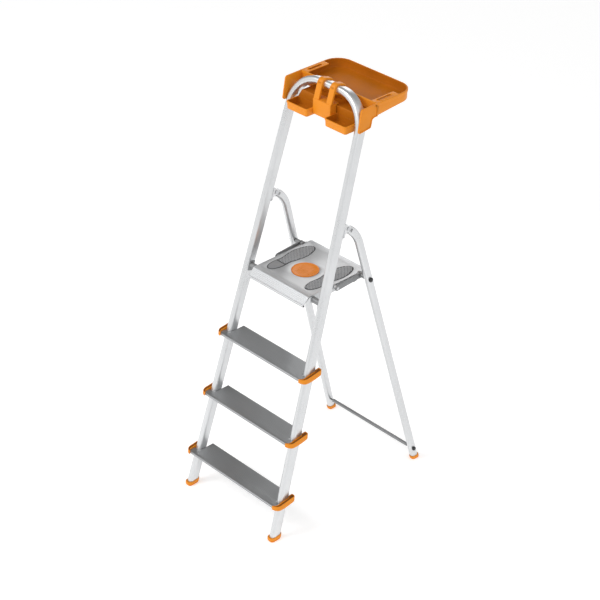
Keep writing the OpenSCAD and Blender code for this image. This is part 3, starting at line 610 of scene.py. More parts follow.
def makeCaps():
    c = cap
    shape = capLoop()
    for i in (1, 2, 3):
        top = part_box("tread_%d" % i)[1].z
        for sideName, side in sides.items():
            name = "cap_%d_%s" % (i, sideName)
            lo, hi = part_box(name)
            x0, y0 = stileX(top), stileY(top)

            def topZ(y):
                s = ramped(y - y0, -0.048, 0.080)
                back = ramped(y - y0, 0.028, 0.012)
                return top + 0.004 + (hi.z - 0.0005 - top - 0.004) * s ** 1.5 - 0.001 * back * back

            def bottomZ(y):
                s = ramped(y - y0, -0.052, 0.026)
                rise = ramped(y - y0, -0.010, 0.050)
                return lo.z + 0.0005 + 0.003 * (1 - s) ** 2 + 0.009 * rise ** 1.4

            def ring(inset, fromTop, height):
                slim = lambda p: inset * (0.45 + 0.55 * ramped(p[1], -0.052, 0.016))
                loop = insetLoop(shape, slim) if inset else shape
                points = []
                for (dx, dy), outer in zip(loop, shape):
                    y = y0 + outer[1]
                    z = topZ(y) - height if fromTop else bottomZ(y) + height
                    x = x0 + dx - (z - top) * math.tan(splay)
                    points.append((side * x, y0 + dy + (z - top) * c["backTilt"], z))
                return points

            e = c["edge"]
            rim = c["recessRim"]
            # bottom edge, side with its shadow line, top edge, then the recess
            rings = [ring(e, False, 0), ring(e * 0.3, False, e * 0.3), ring(0, False, e),
                     ring(0, True, 0.0105), ring(0.0005, True, 0.0098), ring(0.0005, True, 0.0090),
                     ring(0, True, 0.0083), ring(0, True, e), ring(e * 0.3, True, e * 0.3), ring(e, True, 0),
                     ring(rim, True, 0.0001), ring(rim + 0.0005, True, c["recess"])]
            mesh = meshFrom(name, *loft(rings))
            # the recess floor faces take the dark brown: painted shade
            for polygon in mesh.polygons:
                if polygon.normal.z > 0.75 and polygon.center.z < topZ(polygon.center.y) - 0.0004:
                    polygon.material_index = 1
            addPiece("endCap_%d_%s" % (i, sideName), mesh, ("orange", "capPaintedShade"), "front_frame",
                     [name], 34)
    print("end caps done")


# feet

# front, back and half width are given at five levels from the sole to the rim
footLevels = (0.0, 0.10, 0.32, 0.66, 1.0)
frontFoot = {"front": (-0.0190, -0.0212, -0.0226, -0.0236, -0.0225),
             "back": (0.0210, 0.0242, 0.0264, 0.0284, 0.0294),
             "half": (0.0115, 0.0135, 0.0143, 0.0143, 0.0141),
             "rimFront": 0.0175, "rimBack": 0.0212, "sag": 0.0030}
rearFoot = {"front": (-0.0135, -0.0162, -0.0182, -0.0204, -0.0218),
            "back": (0.0155, 0.0185, 0.0190, 0.0180, 0.0156),
            "half": (0.0090, 0.0110, 0.0118, 0.0119, 0.0117),
            "rimFront": 0.0160, "rimBack": 0.0172, "sag": 0.0026}
footMouth = {"gap": 0.0004, "drop": 0.006, "edge": 0.0010}


def footMesh(name, shape, side, centreAt, tubeLean, tube):
    levels = footLevels

    def at(values, t):
        for k in range(len(levels) - 1):
            if t <= levels[k + 1]:
                s = (t - levels[k]) / (levels[k + 1] - levels[k])
                return values[k] + (values[k + 1] - values[k]) * s
        return values[-1]

    def ring(t, inset):
        front, back = at(shape["front"], t) + inset, at(shape["back"], t) - inset
        half = at(shape["half"], t) - inset
        loop = roundedLoop(2 * half, back - front, min(half * 0.92, 0.011), 7)
        points = []
        for x, y in loop:
            y += (front + back) / 2
            s = ramped(y, shape["front"][-1], shape["back"][-1] - shape["front"][-1])
            s = s * s * (3 - 2 * s)
            dip = shape["sag"] * math.sin(math.pi * s) ** 2
            z = t * (shape["rimFront"] + (shape["rimBack"] - shape["rimFront"]) * s - dip)
            cx, cy = centreAt(z)
            points.append((side * (cx + x), cy[0] + y, z))
        return points

    # sole, two grooves, plain side and rolled rim
    rings = [ring(0.0, 0.0008), ring(0.012, 0.0), ring(0.07, 0.0)]
    for t in (0.14, 0.28):
        rings += [ring(t, 0.0), ring(t + 0.02, 0.0007), ring(t + 0.06, 0.0007), ring(t + 0.08, 0.0)]
    rings += [ring(0.50, 0), ring(0.64, 0), ring(0.78, 0), ring(0.90, -0.0001), ring(0.965, -0.0001),
              ring(0.99, 0.0003), ring(1.0, 0.0007), ring(1.0, 0.0011)]
    # the mouth drops to the tube
    mouth = []
    gap, drop = footMouth["gap"], footMouth["drop"]
    section = roundedLoop(tube["width"] + 2 * gap, (tube["depth"] + 2 * gap) / math.cos(tubeLean),
                          tube["corner"] + gap, 7)
    for (x, y), rim in zip(section, rings[-1]):
        cx, cy = centreAt(rim[2] - 0.0012)
        mouth.append((side * (cx + x), cy[1] + y, rim[2] - footMouth["edge"]))
    rings.append(mouth)
    shift = centreAt(0)[1][1] - centreAt(drop)[1][1]
    rings.append([(x, y + shift, z - drop) for x, y, z in mouth])
    return meshFrom(name, *loft(rings))


def makeFeet():
    legY, legZ = legPath()[-1][:2]
    rearLean = math.radians(rearTube["lean"])
    slope = math.tan(rearLean)

    # the tube's centre at a height: x, then y on the floor and y at that height
    def frontPlace(z):
        return stileX(z), (stileY(0), stileY(z))

    def rearPlace(z):
        return legPlace(1, 0, z).x, (legY + legZ * slope, legY + (legZ - z) * slope)

    kinds = {"front": (frontFoot, frontPlace, lean, frontTube),
             "rear": (rearFoot, rearPlace, rearLean, rearTube)}
    for kind, (shape, place, tubeLean, tube) in kinds.items():
        for sideName, side in sides.items():
            name = "foot_%s_%s" % (kind, sideName)
            mesh = footMesh(name, shape, side, place, tubeLean, tube)
            addPiece("%sFoot_%s" % (kind, sideName), mesh, "orange", kind + "_frame", [name], 40)
    print("feet done")


# platform

deck = {"thick": 0.005, "skin": 0.002, "corner": 0.008, "bevel": 0.0006, "badgeGap": 0.0006,
        "gripGap": 0.0005}
gripLook = {"pad": 0.0024, "padBevel": 0.0005, "sink": 0.0008, "pitch": 0.0072, "rise": 0.0009,
            "studHalf": 0.0029, "studLong": 0.0031, "edgeX": 0.0036, "edgeY": 0.0042, "columns": 10,
            "plainHeel": 0.30, "heelEnd": 0.29, "heelInset": 0.0035, "heelPad": 0.0012}


def gripLoop(side):
    # a sole: round heel, waist and wider front, drawn about its own long axis
    lo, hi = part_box("grip_" + ("left" if side < 0 else "right"))
    length, width = hi.y - lo.y, hi.x - lo.x
    cx = (lo.x + hi.x) / 2
    points = []
    for i in range(64):
        a = 2 * math.pi * i / 64
        y = -math.cos(a)
        s = (y + 1) / 2
        waist = 0.17 * math.exp(-((s - 0.37) / 0.13) ** 2)
        ball = 0.15 * math.exp(-((s - 0.72) / 0.20) ** 2)
        spread = 0.83 - waist + ball
        half = 0.5 * width * spread * (1 - abs(y) ** 3.2) ** 0.45
        x = half if math.sin(a) >= 0 else -half
        points.append((cx + x, lo.y + 0.003 + s * (length - 0.006)))
    return points


def insideLoop(loop, x, y):
    inside = False
    for k in range(len(loop)):
        (x1, y1), (x2, y2) = loop[k - 1], loop[k]
        if (y1 > y) != (y2 > y) and x < (x2 - x1) * (y - y1) / (y2 - y1) + x1:
            inside = not inside
    return inside


def makeStuds(loop, lo, hi, top, plainHeel):
    # small raised diamonds wherever one fits whole inside the sole
    g = gripLook
    verts, faces = [], []
    rows = int((hi.y - lo.y) / g["pitch"] * 2)
    for row in range(rows):
        y = lo.y + row * g["pitch"] / 2
        if plainHeel and y < lo.y + g["plainHeel"] * (hi.y - lo.y):
            continue
        for col in range(g["columns"]):
            x = lo.x + (col + (row % 2) / 2) * g["pitch"]
            reach = [(x - g["edgeX"], y), (x + g["edgeX"], y), (x, y - g["edgeY"]), (x, y + g["edgeY"])]
            if not all(insideLoop(loop, *p) for p in reach):
                continue
            k = len(verts)
            for h, s in ((0.0003, 1.0), (g["rise"] - 0.0003, 0.86), (g["rise"], 0.66)):
                for ux, uy in ((1, 0), (0, 1), (-1, 0), (0, -1)):
                    verts.append((x + ux * g["studHalf"] * s, y + uy * g["studLong"] * s, top + h))
            for base in (k, k + 4):
                for q in range(4):
                    n = (q + 1) % 4
                    faces.append((base + q, base + n, base + 4 + n, base + 4 + q))
            faces += [(k, k + 1, k + 2, k + 3), (k + 8, k + 9, k + 10, k + 11)]
    return meshFrom("gripStuds", verts, faces)


def makeGrip(sideName, loop, top):
    g = gripLook
    leftSide = sides[sideName] < 0
    lo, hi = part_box("grip_" + sideName)
    base = plateMesh("gripPad", [loop], g["pad"], g["padBevel"], level(top - g["sink"]))
    addPiece("gripPad_" + sideName, base, "grip", "platform", ["grip_" + sideName], 30)
    if leftSide:
        split = lo.y + g["heelEnd"] * (hi.y - lo.y)
        heel = [p for p in insetLoop(loop, g["heelInset"]) if p[1] < split]
        pad = plateMesh("heelPad", [roundCorners(heel, 0.002, 2)], g["heelPad"], 0.0003,
                        level(top + 0.0004))
        addPiece("heelPad_" + sideName, pad, "gripHeel", "platform", [], 30)
    studs = makeStuds(loop, lo, hi, top, leftSide)
    addPiece("gripStuds_" + sideName, studs, "gripStud", "platform", [], 50)


def makeBadge(box, r):
    centre = centreOf(box)
    # (height, radius) over the raised ring and down to the flat disc
    dish = [(-0.0030, r - 0.0008), (-0.0006, r - 0.0002), (0.0, r - 0.0016), (0.0002, r - 0.0040),
            (-0.0006, r - 0.0052), (-0.0008, r - 0.0058), (-0.0008, r * 0.5), (-0.0008, r * 0.1)]
    mesh = turnedMesh("badgeDisc", dish, (centre.x, centre.y, box[1].z), (0, 0, 1), 96)
    addPiece("badgeDisc", mesh, "badge", "platform", ["badge", "badge_ring"], 34)


def makePlatform():
    lo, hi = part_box("platform_deck")
    d = deck
    top = hi.z
    front = lo.y + 0.0005
    corner = d["corner"]
    outline = [(lo.x, front), (hi.x, front)]
    outline += arcPoints((hi.x - corner, hi.y - corner), corner, 0, 90, 6)
    outline += arcPoints((lo.x + corner, hi.y - corner), corner, 90, 180, 6)
    grips = {sideName: gripLoop(side) for sideName, side in sides.items()}
    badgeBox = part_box("badge")
    badgeR = (badgeBox[1].x - badgeBox[0].x) / 2
    holes = [arcPoints(centreOf(badgeBox), badgeR + d["badgeGap"], 0, 360, 64)[:-1]]
    holes += [insetLoop(g, -d["gripGap"]) for g in grips.values()]
    skin, below = d["skin"], d["thick"] - d["skin"]
    upper = plateMesh("deckTop", [outline] + holes, skin, d["bevel"], level(top - skin / 2))
    under = plateMesh("deckUnder", [insetLoop(outline, 0.0004)], below, d["bevel"],
                      level(top - skin - below / 2))
    addPiece("deck", joinMeshes("deck", [upper, under]), "platform", "platform",
             ["platform_deck"], 30)
    for sideName, loop in grips.items():
        makeGrip(sideName, loop, top)
    makeBadge(badgeBox, badgeR)
    print("deck, grips and badge done")
    makeNose(top)
    makeRails(top, hi)


nose = {"steps": 6, "stepRise": 0.0009, "rollRadius": 0.005, "slopeStart": 0.0285, "wall": 0.0045,
        "edge": 0.0002}


def makeNose(top):
    # sloped apron with stepped ridges, ending in a rolled edge
    n = nose
    lo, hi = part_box("platform_nose")
    rollAt = (lo.y + n["rollRadius"], lo.z + n["rollRadius"])
    start = (lo.y + n["slopeStart"], top - 0.0012)
    foot = (rollAt[0] - 0.001, rollAt[1] + n["rollRadius"] - 0.001)
    loop = [(hi.y - n["edge"], top - 0.0001), (start[0] + 0.003, top - 0.0002), (start[0], top - 0.0009)]
    down = Vector((foot[0] - start[0], foot[1] - start[1]))
    normal = Vector((down.y, -down.x)).normalized()
    if normal.x > 0:
        normal = -normal
    for i in range(n["steps"]):
        for s, h in ((0.14, 0), (0.30, 1), (0.62, 1), (0.78, 0)):
            p = Vector(start) + down * ((i + s) / n["steps"]) + normal * (h - 1) * n["stepRise"]
            loop.append((p.x, p.y))
    loop += arcPoints(rollAt, n["rollRadius"] - n["edge"], 115, 395, 22)
    loop += [(rollAt[0] + n["wall"], rollAt[1] + n["rollRadius"] + 0.0006),
             (start[0] + n["wall"], top - 0.0062), (start[0] + 0.008, top - 0.005),
             (hi.y - n["edge"], top - 0.005)]
    loop.reverse()
    mesh = profileMesh("nose", loop, lambda y, z: hi.x - n["edge"])
    addPiece("noseApron", mesh, "platform", "platform", ["platform_nose"], 28)
    for sideName, side in sides.items():
        plug = [(0, 0.0030), (0.0006, 0.0028), (0.0006, 0.0006)]
        ring = spunMesh("rollEnd", plug, hi.x - 0.0004, *rollAt, side, 24)
        addPiece("rollEnd_" + sideName, ring, "black", "platform")
    print("nose done")


rail = {"wall": 0.004, "bevel": 0.0007, "inset": 0.0021, "bore": 0.00505, "beadDeep": 0.0011,
        "beadHalf": 0.0024, "beadDrop": 0.016, "beadRise": 0.004, "studRadius": 0.0070, "studBase": 0.0078}


def makeRails(top, deckHi):
    r = rail
    pivot = Vector(joints["platform_fold"]["pos_m"])
    back = deckHi.y
    for sideName, side in sides.items():
        lo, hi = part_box("rail_" + sideName)
        low = lo.z
        web = [(lo.y, top - 0.005), (lo.y, top - 0.011), (pivot.y - 0.012, low + 0.001),
               (pivot.y - 0.008, low), (pivot.y + 0.012, low), (back - 0.060, low + 0.004),
               (back - 0.010, top - 0.016), (back - 0.006, top - 0.012), (back - 0.006, top - 0.005)]
        web.reverse()
        bore = arcPoints((pivot.y, pivot.z), r["bore"], 0, 360, 32)[:-1]
        wall = plateMesh("rail", [web, bore], r["wall"], r["bevel"],
                         sideways(side * (deckHi.x - r["inset"])))
        # a bead pressed along the web
        bead = []
        for y, rise in ((pivot.y + 0.020, 0), (back - 0.030, r["beadRise"])):
            bead.append([(side * (deckHi.x - 0.0003 + r["beadDeep"] * math.cos(a)), y,
                          top - r["beadDrop"] + r["beadHalf"] * math.sin(a) + rise)
                         for a in (2 * math.pi * k / 12 for k in range(12))])
        at = centreOf(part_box("stay_rivet_" + sideName))
        end = abs(hi.x if side > 0 else lo.x) - deckHi.x
        steps = [(0, r["studBase"]), (0.0012, r["studBase"]), (0.0020, r["studRadius"]),
                 (end - 0.0006, r["studRadius"]), (end, r["studRadius"] - 0.0006), (end, 0.001)]
        stud = spunMesh("stud", steps, deckHi.x, at.y, at.z, side, 32)
        mesh = joinMeshes("rail", [wall, meshFrom("bead", *loft(bead)), stud])
        addPiece("railWeb_" + sideName, mesh, "platform", "platform", ["rail_" + sideName], 34)
    print("rails done")


# stays, bolts and small metal

stay = {"endRadius": 0.0098, "boltHole": 0.00505, "rivetHole": 0.00305, "bevel": 0.0008, "ribDeep": 0.0014,
        "ribHalf": 0.0035, "neck": 0.0030, "headRadius": 0.0060, "headAt": 0.0044}


def makeStays():
    t = stay
    for sideName, side in sides.items():
        lo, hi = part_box("stay_" + sideName)
        bolt = Vector(joints["stay_%s_fold" % sideName]["pos_m"])
        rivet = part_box("stay_rivet_" + sideName)
        a = Vector((bolt.y, bolt.z))
        b = centreOf(rivet).yz
        heading = math.degrees(math.atan2(a.y - b.y, a.x - b.x))
        loop = arcPoints(a, t["endRadius"], heading - 90, heading + 90, 14)
        loop += arcPoints(b, t["endRadius"], heading + 90, heading + 270, 14)
        holes = [arcPoints(a, t["boltHole"], 0, 360, 28)[:-1], arcPoints(b, t["rivetHole"], 0, 360, 24)[:-1]]
        plate = plateMesh("stay", [loop] + holes, hi.x - lo.x, t["bevel"], sideways((lo.x + hi.x) / 2))
        # a rib pressed along the middle, sunk at both ends
        run = (a - b).normalized()
        face = max(abs(lo.x), abs(hi.x)) - t["bevel"]
        rib = []
        for s, h in ((0.16, 0.0), (0.22, 1.0), (0.78, 1.0), (0.84, 0.0)):
            c = b + (a - b) * s
            ring = []
            for k in range(16):
                turn = 2 * math.pi * k / 16
                x = side * (face + t["ribDeep"] * h * math.cos(turn) * 0.9)
                w = t["ribHalf"] * math.sin(turn) * max(h, 0.4)
                ring.append((x, c.x - run.y * w, c.y + run.x * w))
            rib.append(ring)
        mesh = joinMeshes("stay", [plate, meshFrom("rib", *loft(rib))])
        addPiece("stayBar_" + sideName, mesh, "steel", "stay_" + sideName, ["stay_" + sideName], 34)
        inner, outer = sorted((abs(rivet[0].x), abs(rivet[1].x)))
        profile = [(0, 0.0028), (0.0042, t["neck"]), (0.0042, t["headRadius"])]
        profile += domed(t["headAt"], outer - inner - 0.0004, t["headRadius"], 0.0012)[1:]
        head = spunMesh("rivet", profile, inner, b.x, b.y, side, 32)
        addPiece("stayRivet_" + sideName, head, "rivet", "stay_" + sideName,
                 ["stay_rivet_" + sideName])
    print("stays done")


stayBolt = {"radius": 0.0050, "spacerAt": 0.1531, "spacerLength": 0.0218, "spacerRadius": 0.0080,
            "cap": 0.0085, "capEdge": 0.0022}
barBolt = {"radius": 0.0030, "length": 0.047, "inset": 0.046, "cap": 0.0075, "capEdge": 0.0020}
capDeep = 0.0056
crossbar = {"end": 0.0106, "corner": 0.0024, "endTaper": 0.94, "endEdge": 0.001}


def boltCap(x, y, z, side, bolt):
    profile = [(0, bolt["cap"] - 0.0025), (0.0002, bolt["cap"])]
    profile += domed(0.0010, 0.0050, bolt["cap"], bolt["capEdge"])
    return spunMesh("boltCap", profile, x, y, z, side, 36)


def makeBolts():
    b = stayBolt
    r = b["radius"]
    for sideName, side in sides.items():
        lo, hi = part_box("stay_bolt_" + sideName)
        at = centreOf((lo, hi))
        start, end = sorted((abs(lo.x), abs(hi.x)))
        spacer = b["spacerAt"] - start
        spacerEnd = b["spacerAt"] + b["spacerLength"] - start
        tip = end - capDeep - start + 0.001
        shaft = [(0, r - 0.0008), (0.0008, r), (spacer, r), (spacer, b["spacerRadius"]),
                 (spacerEnd, b["spacerRadius"]), (spacerEnd, r), (tip, r), (tip, 0.003)]
        addPiece("stayBoltShaft_" + sideName, spunMesh("shaft", shaft, start, at.y, at.z, side, 36), "steel",
                 "rear_frame", ["stay_bolt_" + sideName], 30)
        addPiece("stayBoltCap_" + sideName, boltCap(end - capDeep, at.y, at.z, side, b), "black",
                 "rear_frame", [], 34)
    b = barBolt
    r = b["radius"]
    lo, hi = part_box("crossbar_bolts")
    at = centreOf((lo, hi))
    capAt = hi.x - capDeep
    parts = []
    for side in (-1, 1):
        shaft = [(0, r - 0.0006), (0.0008, r), (b["length"], r), (b["length"], 0.0016)]
        parts.append(spunMesh("boltShaft", shaft, capAt - b["inset"], at.y, at.z, side, 28))
        parts.append(boltCap(capAt, at.y, at.z, side, b))
    addPiece("crossbarBolts", joinMeshes("crossbarBolts", parts), "black", "rear_frame",
             ["crossbar_bolts"])
    c = crossbar
    lo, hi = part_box("rear_crossbar")
    at = centreOf((lo, hi))
    half = hi.x - c["end"]
    section = roundedLoop(hi.y - lo.y, hi.z - lo.z, c["corner"], 5)
    rings = []
    for x, s in ((-half, c["endTaper"]), (-half + c["endEdge"], 1.0), (half - c["endEdge"], 1.0),
                 (half, c["endTaper"])):
        rings.append([(x, at.y + y * s, at.z + z * s) for y, z in section])
    addPiece("crossbar", meshFrom("crossbar", *loft(rings)), "steel", "rear_frame",
             ["rear_crossbar"], 34)
    print("bolts and crossbar done")


# tray

tray = {"wall": 0.0035, "cornerRadius": 0.060, "rimLip": 0.0016, "depth": 0.037, "fall": 0.010,
        "flat": 0.064, "frontGap": 0.029, "flange": 0.030, "flangeLong": 0.104, "flangeThick": 0.003,
        "slotIn": 0.017, "slotAt": 0.050, "slotWidth": 0.010, "slotLength": 0.062, "slotCorner": 0.004,
        "slotRim": 0.003, "slotRise": 0.0022, "ribs": 2, "ribAt": 0.036, "ribPitch": 0.014, "ribIn": 0.034,
        "borderWide": 0.0036, "borderThick": 0.0024, "pocketCorner": 0.009}


def basinLoop(half, front, back, r):
    loop = [(-half, front), (0, front), (half, front), (half, (front + back - r) / 2)]
    loop += arcPoints((half - r, back - r), r, 0, 90, 18)
    loop += [(0, back)]
    loop += arcPoints((-half + r, back - r), r, 90, 180, 18)
    loop += [(-half, (front + back - r) / 2)]
    return loop


def paintShadeInside(mesh, loop, top):
    # faces inside the loop and below the rim take the second finish, the orange darkened as painted shade
    for polygon in mesh.polygons:
        c = polygon.center
        if c.z < top and insideLoop(loop, c.x, c.y):
            polygon.material_index = 1


def makeBasin():
    t = tray
    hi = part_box("tray_basin")[1]
    half, back, rim = hi.x, hi.y, hi.z
    front = barAxis.y + t["frontGap"]
    rearZ = rim - t["depth"]
    shape = basinLoop(half, front, back, t["cornerRadius"])

    def floorZ(y):
        s = ramped(y, front, back - t["flat"] - front)
        return rearZ - t["fall"] * (1 - s)

    def ring(inset, z=None, lift=None):
        loop = insetLoop(shape, inset) if inset else shape
        return [(x, y, z if z is not None else floorZ(y) + lift) for x, y in loop]

    w = t["wall"]
    lip = -t["rimLip"]
    # under the floor, up the outside, over the rolled rim and down the inside
    rings = [ring(0.008, lift=0.0), ring(0.004, lift=0.0005), ring(0.0012, lift=0.0022),
             ring(0.0002, lift=0.006), ring(0.0, z=rim - 0.0105), ring(lip, z=rim - 0.0092), ring(lip - 0.0004, z=rim - 0.0070),
             ring(lip - 0.0004, z=rim - 0.0016), ring(lip + 0.0006, z=rim - 0.0004), ring(0.0002, z=rim),
             ring(w - 0.0010, z=rim), ring(w, z=rim - 0.0012), ring(w + 0.0002, z=rim - 0.010),
             ring(w + 0.0006, lift=0.0095), ring(w + 0.0022, lift=0.0052), ring(w + 0.0070, lift=0.0036)]
    mesh = meshFrom("basin", *loft(rings))
    # the basin's inner walls and floor take the orange darkened as painted shade
    paintShadeInside(mesh, insetLoop(shape, w - 0.0006), rim - 0.0003)
    parts = [mesh]
    # ribs across the basin floor
    for k in range(t["ribs"]):
        y = front + t["ribAt"] + k * t["ribPitch"]
        rib = [[(x, y + 0.0016 * math.cos(a), floorZ(y) + 0.0034 + 0.0013 * math.sin(a))
                for a in (2 * math.pi * q / 10 for q in range(10))]
               for x in (t["ribIn"] - half, half - t["ribIn"])]
        parts.append(meshFrom("rib", *loft(rib)))
    # ledge behind the hoop, with its groove
    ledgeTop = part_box("tray_saddle")[1].z + 0.002
    ledgeLow = rearZ - t["fall"] + 0.001
    profile = [(-0.0004, ledgeLow), (0.014, ledgeLow), (0.014, ledgeTop - 0.001), (0.0132, ledgeTop),
               (0.0092, ledgeTop), (0.0088, ledgeTop - 0.0016), (0.0070, ledgeTop - 0.0016),
               (0.0066, ledgeTop), (0.0006, ledgeTop), (-0.0004, ledgeTop - 0.001)]
    ledge = [(front + y, z) for y, z in profile]
    parts.append(profileMesh("ledge", ledge, lambda y, z: half - 0.0045))
    # the ribs and the ledge take the orange darkened as painted shade
    for part in parts[1:]:
        for polygon in part.polygons:
            polygon.material_index = 1
    addPiece("trayBasin", joinMeshes("trayBasin", parts), ("orange", "orangeInside"), "front_frame",
             ["tray_basin"], 34)
    makeCheeks(half, front, rim, rearZ - t["fall"])
    makeFlanges(half, front, rim)


def roundCorners(points, radius, steps=5):
    # replaces each corner of a loop with an arc
    result = []
    count = len(points)
    for i, p in enumerate(points):
        a, b = Vector(points[i - 1]), Vector(points[(i + 1) % count])
        c = Vector(p)
        r = radius[i] if isinstance(radius, (list, tuple)) else radius
        u, v = (a - c), (b - c)
        cut = min(r, u.length * 0.45, v.length * 0.45)
        if cut < 1e-5:
            result.append(tuple(c))
            continue
        u.normalize()
        v.normalize()
        for k in range(steps + 1):
            s = k / steps
            q = (c + u * cut) * (1 - s) ** 2 + c * 2 * s * (1 - s) + (c + v * cut) * s * s
            result.append(tuple(q))
    return result


def makeCheeks(half, front, rim, floorFront):
    w = tray["wall"]
    barY = barAxis.y
    points = [(front + 0.002, rim - 0.0002), (front + 0.002, floorFront + 0.0008),
              (barY + 0.0085, rim - 0.047), (barY + 0.0015, rim - 0.079), (barY - 0.0505, rim - 0.0846),
              (barY - 0.0565, rim - 0.0785), (barY - 0.0435, rim - 0.0070), (barY - 0.0385, rim - 0.0012)]
    loop = roundCorners(points, [0.0005, 0.0005, 0.010, 0.007, 0.006, 0.006, 0.010, 0.008])
    for sideName, side in sides.items():
        plate = plateMesh("cheek", [loop], w, 0.0008, sideways(side * (half - w / 2)))
        # a raised border follows the cheek's edge
        outer, inner = [insetLoop(loop[::-1], d)[::-1] for d in (0.0004, 0.0004 + tray["borderWide"])]
        border = plateMesh("border", [outer, inner], tray["borderThick"], 0.0006,
                           sideways(side * (half + 0.0006)))
        addPiece("trayCheek_" + sideName, joinMeshes("cheek", [plate, border]), "orange", "front_frame",
                 [], 30)
    print("basin and cheeks done")


def makeFlanges(half, front, rim):
    t = tray
    for sideName, side in sides.items():
        slotAt = side * (half - t["slotIn"])
        slotY = front + t["slotAt"]
        edgeIn, edgeOut = side * (half - t["flange"]), side * (half - 0.0012)
        x0, x1 = min(edgeIn, edgeOut), max(edgeIn, edgeOut)
        y0, y1 = front + 0.001, front + t["flangeLong"]
        outline = roundCorners([(x0, y0), (x1, y0), (x1, y1), (x0, y1)], 0.004)
        slot, ring = [[(slotAt + x, slotY + y)
                       for x, y in roundedLoop(t["slotWidth"] + 2 * g, t["slotLength"] + 2 * g, t["slotCorner"] + g, 8)]
                      for g in (0, t["slotRim"])]
        plate = plateMesh("flange", [outline, slot], t["flangeThick"], 0.0007, level(rim - 0.0018))
        raised = plateMesh("slotRim", [ring, slot], t["slotRise"], 0.0008, level(rim - 0.0002))
        addPiece("trayFlange_" + sideName, joinMeshes("flange", [plate, raised]), "orange", "front_frame",
                 [], 30)
    print("flanges done")


def makePockets():
    w = tray["wall"]
    for sideName in sides:
        name = "tray_pocket_" + sideName
        lo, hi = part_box(name)
        cx, cy = (lo.x + hi.x) / 2, (lo.y + hi.y) / 2
        width, depth = hi.x - lo.x, hi.y - lo.y

        def ring(inset, z):
            loop = roundedLoop(width - 2 * inset, depth - 2 * inset, tray["pocketCorner"] - inset * 0.6, 6)
            return [(cx + x, cy + y, z) for x, y in loop]

        rings = [ring(0.006, lo.z), ring(0.0026, lo.z + 0.0006), ring(0.0010, lo.z + 0.0026),
                 ring(0.0006, lo.z + 0.010), ring(0.0002, hi.z - 0.0062), ring(-0.0014, hi.z - 0.0054), ring(-0.0016, hi.z - 0.0014),
                 ring(-0.0008, hi.z - 0.0003), ring(0.0002, hi.z), ring(w - 0.0008, hi.z), ring(w, hi.z - 0.0010),
                 ring(w + 0.0006, lo.z + 0.010), ring(w + 0.0020, lo.z + 0.0050), ring(w + 0.0060, lo.z + w)]
        mesh = meshFrom("pocket", *loft(rings))
        mouth = [(cx + x, cy + y) for x, y in roundedLoop(width - 2 * w + 0.001, depth - 2 * w + 0.001, 0.006, 6)]
        # the pocket's inner faces take the orange darkened as painted shade
        paintShadeInside(mesh, mouth, hi.z - 0.0003)
        addPiece("trayPocket_" + sideName, mesh, ("orange", "orangeInside"), "front_frame",
                 [name], 34)
    lo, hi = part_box("tray_bridge")
    loop = [(lo.y, lo.z), (lo.y + 0.0035, lo.z), (lo.y + 0.0035, hi.z - 0.005), (lo.y + 0.005, hi.z - 0.0035),
            (hi.y, hi.z - 0.0035), (hi.y, hi.z), (lo.y + 0.002, hi.z), (lo.y, hi.z - 0.002)]
    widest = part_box("tray_pocket_right")[1].x - 0.0003
    # the wall widens downwards beside the hoop's bends
    bridge = profileMesh("bridge", loop, lambda y, z: hi.x + (widest - hi.x) * (hi.z - z) / (hi.z - lo.z))
    # the whole bridge takes the orange darkened as painted shade
    addPiece("trayBridge", bridge, "orangeInside", "front_frame", ["tray_bridge"], 34)
    print("pockets done")


hook = {"wall": 0.0067, "front": 0.0096, "gap": 0.0003, "edge": 0.0022, "inRadius": 0.0113, "outRadius": 0.0174}


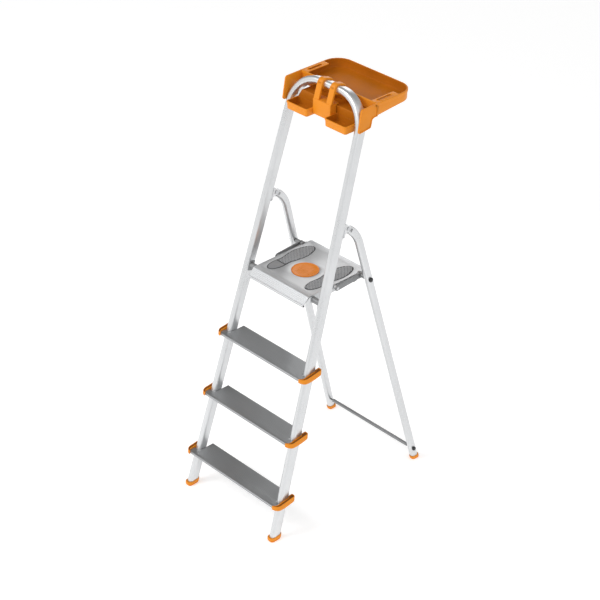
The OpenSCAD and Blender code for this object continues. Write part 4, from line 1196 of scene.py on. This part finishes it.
def makeSaddle():
    lo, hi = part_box("tray_saddle")
    points = [(lo.y + 0.0006, lo.z + 0.002), (lo.y + 0.0024, hi.z), (hi.y, hi.z), (hi.y, hi.z - 0.0064),
              (lo.y + 0.034, hi.z - 0.0064), (lo.y + 0.030, hi.z - 0.010), (lo.y + 0.030, lo.z)]
    loop = roundCorners(points, [0.003, 0.0045, 0.002, 0.001, 0.001, 0.001, 0.001])[::-1]
    block = profileMesh("saddle", loop, lambda y, z: hi.x, 0.0016)
    addPiece("traySaddle", block, "orange", "front_frame", ["tray_saddle"], 34)
    out = Vector((0, -math.cos(lean), math.sin(lean)))
    up = Vector((0, math.sin(lean), math.cos(lean)))
    h = hook
    for sideName in sides:
        name = "tray_hook_" + sideName
        lo2, hi2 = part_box(name)
        x0, x1 = lo2.x, hi2.x
        depth, width = frontTube["depth"], frontTube["width"]
        inner = roundedLoop(depth + 2 * h["gap"], width + 2 * h["gap"], h["inRadius"], 9)
        outer = roundedLoop(depth + h["wall"] + h["front"], width + 2 * h["wall"], h["outRadius"], 9)
        shift = (h["front"] - h["wall"]) / 2
        # (x, share of the band's thickness): rounded at both sides
        edge = [(0.0, 0.20), (0.0006, 0.60), (0.0018, 0.90), (0.0040, 1.0)]
        section = [(x0 + x, 0.35 + 0.65 * s) for x, s in edge]
        section += [(x1 - x, 0.35 + 0.65 * s) for x, s in edge[::-1]]
        section += [(x1 - 0.0004, 0.0), (x0 + 0.0004, 0.0)]
        rings = []
        for (ix, iy), (ox, oy) in zip(inner, outer):
            ox += shift
            rings.append([barAxis + Vector((x - barAxis.x, 0, 0)) + out * (ix + (ox - ix) * s)
                          + up * (iy + (oy - iy) * s) for x, s in section])
        band = meshFrom("hook", *loft(rings, wrap=True))
        # the front leg runs down to the saddle
        middle = frontTube["depth"] / 2 + (h["gap"] + h["front"]) / 2
        legSection = roundedLoop(x1 - x0, h["front"] - h["gap"], h["edge"], 5)
        rings = []
        for v in (0.003, -0.016, -0.032):
            rings.append([barAxis + Vector((x, 0, 0)) + out * (middle + d) + up * v
                          + Vector(((x0 + x1) / 2 - barAxis.x, 0, 0)) for x, d in legSection])
        rings[-1] = levelEnd(rings[-1], rings[-2], hi.z + 0.0001)
        leg = meshFrom("hookLeg", *loft(rings))
        addPiece("trayHook_" + sideName, joinMeshes("hook", [band, leg]), "orange", "front_frame",
                 [name], 40)
    print("saddle and hooks done")


# carried-over nodes get their finishes

def dressNodes():
    looks = {"hinge_bracket": "tube", "hinge_pin": "rivet", "platform_bracket": "steel",
             "platform_pin": "rivet", "leg_end": "tube", "rest": "steel", "tread_rivets": "rivet"}
    for name, node in nodes.items():
        for start, look in looks.items():
            if name.startswith(start):
                node.data.materials.clear()
                node.data.materials.append(finish(look))
    print("small nodes dressed")


def makeFloor():
    half = floorLook["half"]
    mesh = bpy.data.meshes.new("floor")
    corners = [(-half, -half, 0), (half, -half, 0), (half, half, 0), (-half, half, 0)]
    mesh.from_pydata(corners, [], [(0, 1, 2, 3)])
    mat = bpy.data.materials.new("floor")
    mat.use_nodes = True
    sockets = mat.node_tree.nodes["Principled BSDF"].inputs
    sockets["Base Color"].default_value = (*[floorLook["tone"]] * 3, 1)
    sockets["Roughness"].default_value = floorLook["rough"]
    sockets["Emission Color"].default_value = (1, 1, 1, 1)
    sockets["Emission Strength"].default_value = floorLook["glow"]
    mesh.materials.append(mat)
    floor = bpy.data.objects.new("floor", mesh)
    bpy.context.scene.collection.objects.link(floor)



setCamera()
setStudio()
makeFloor()
makeFrontTube()
makeRearLegs()
makeTreads()
makeCaps()
makeFeet()
makePlatform()
makeStays()
makeBolts()
makeBasin()
makePockets()
makeSaddle()
dressNodes()
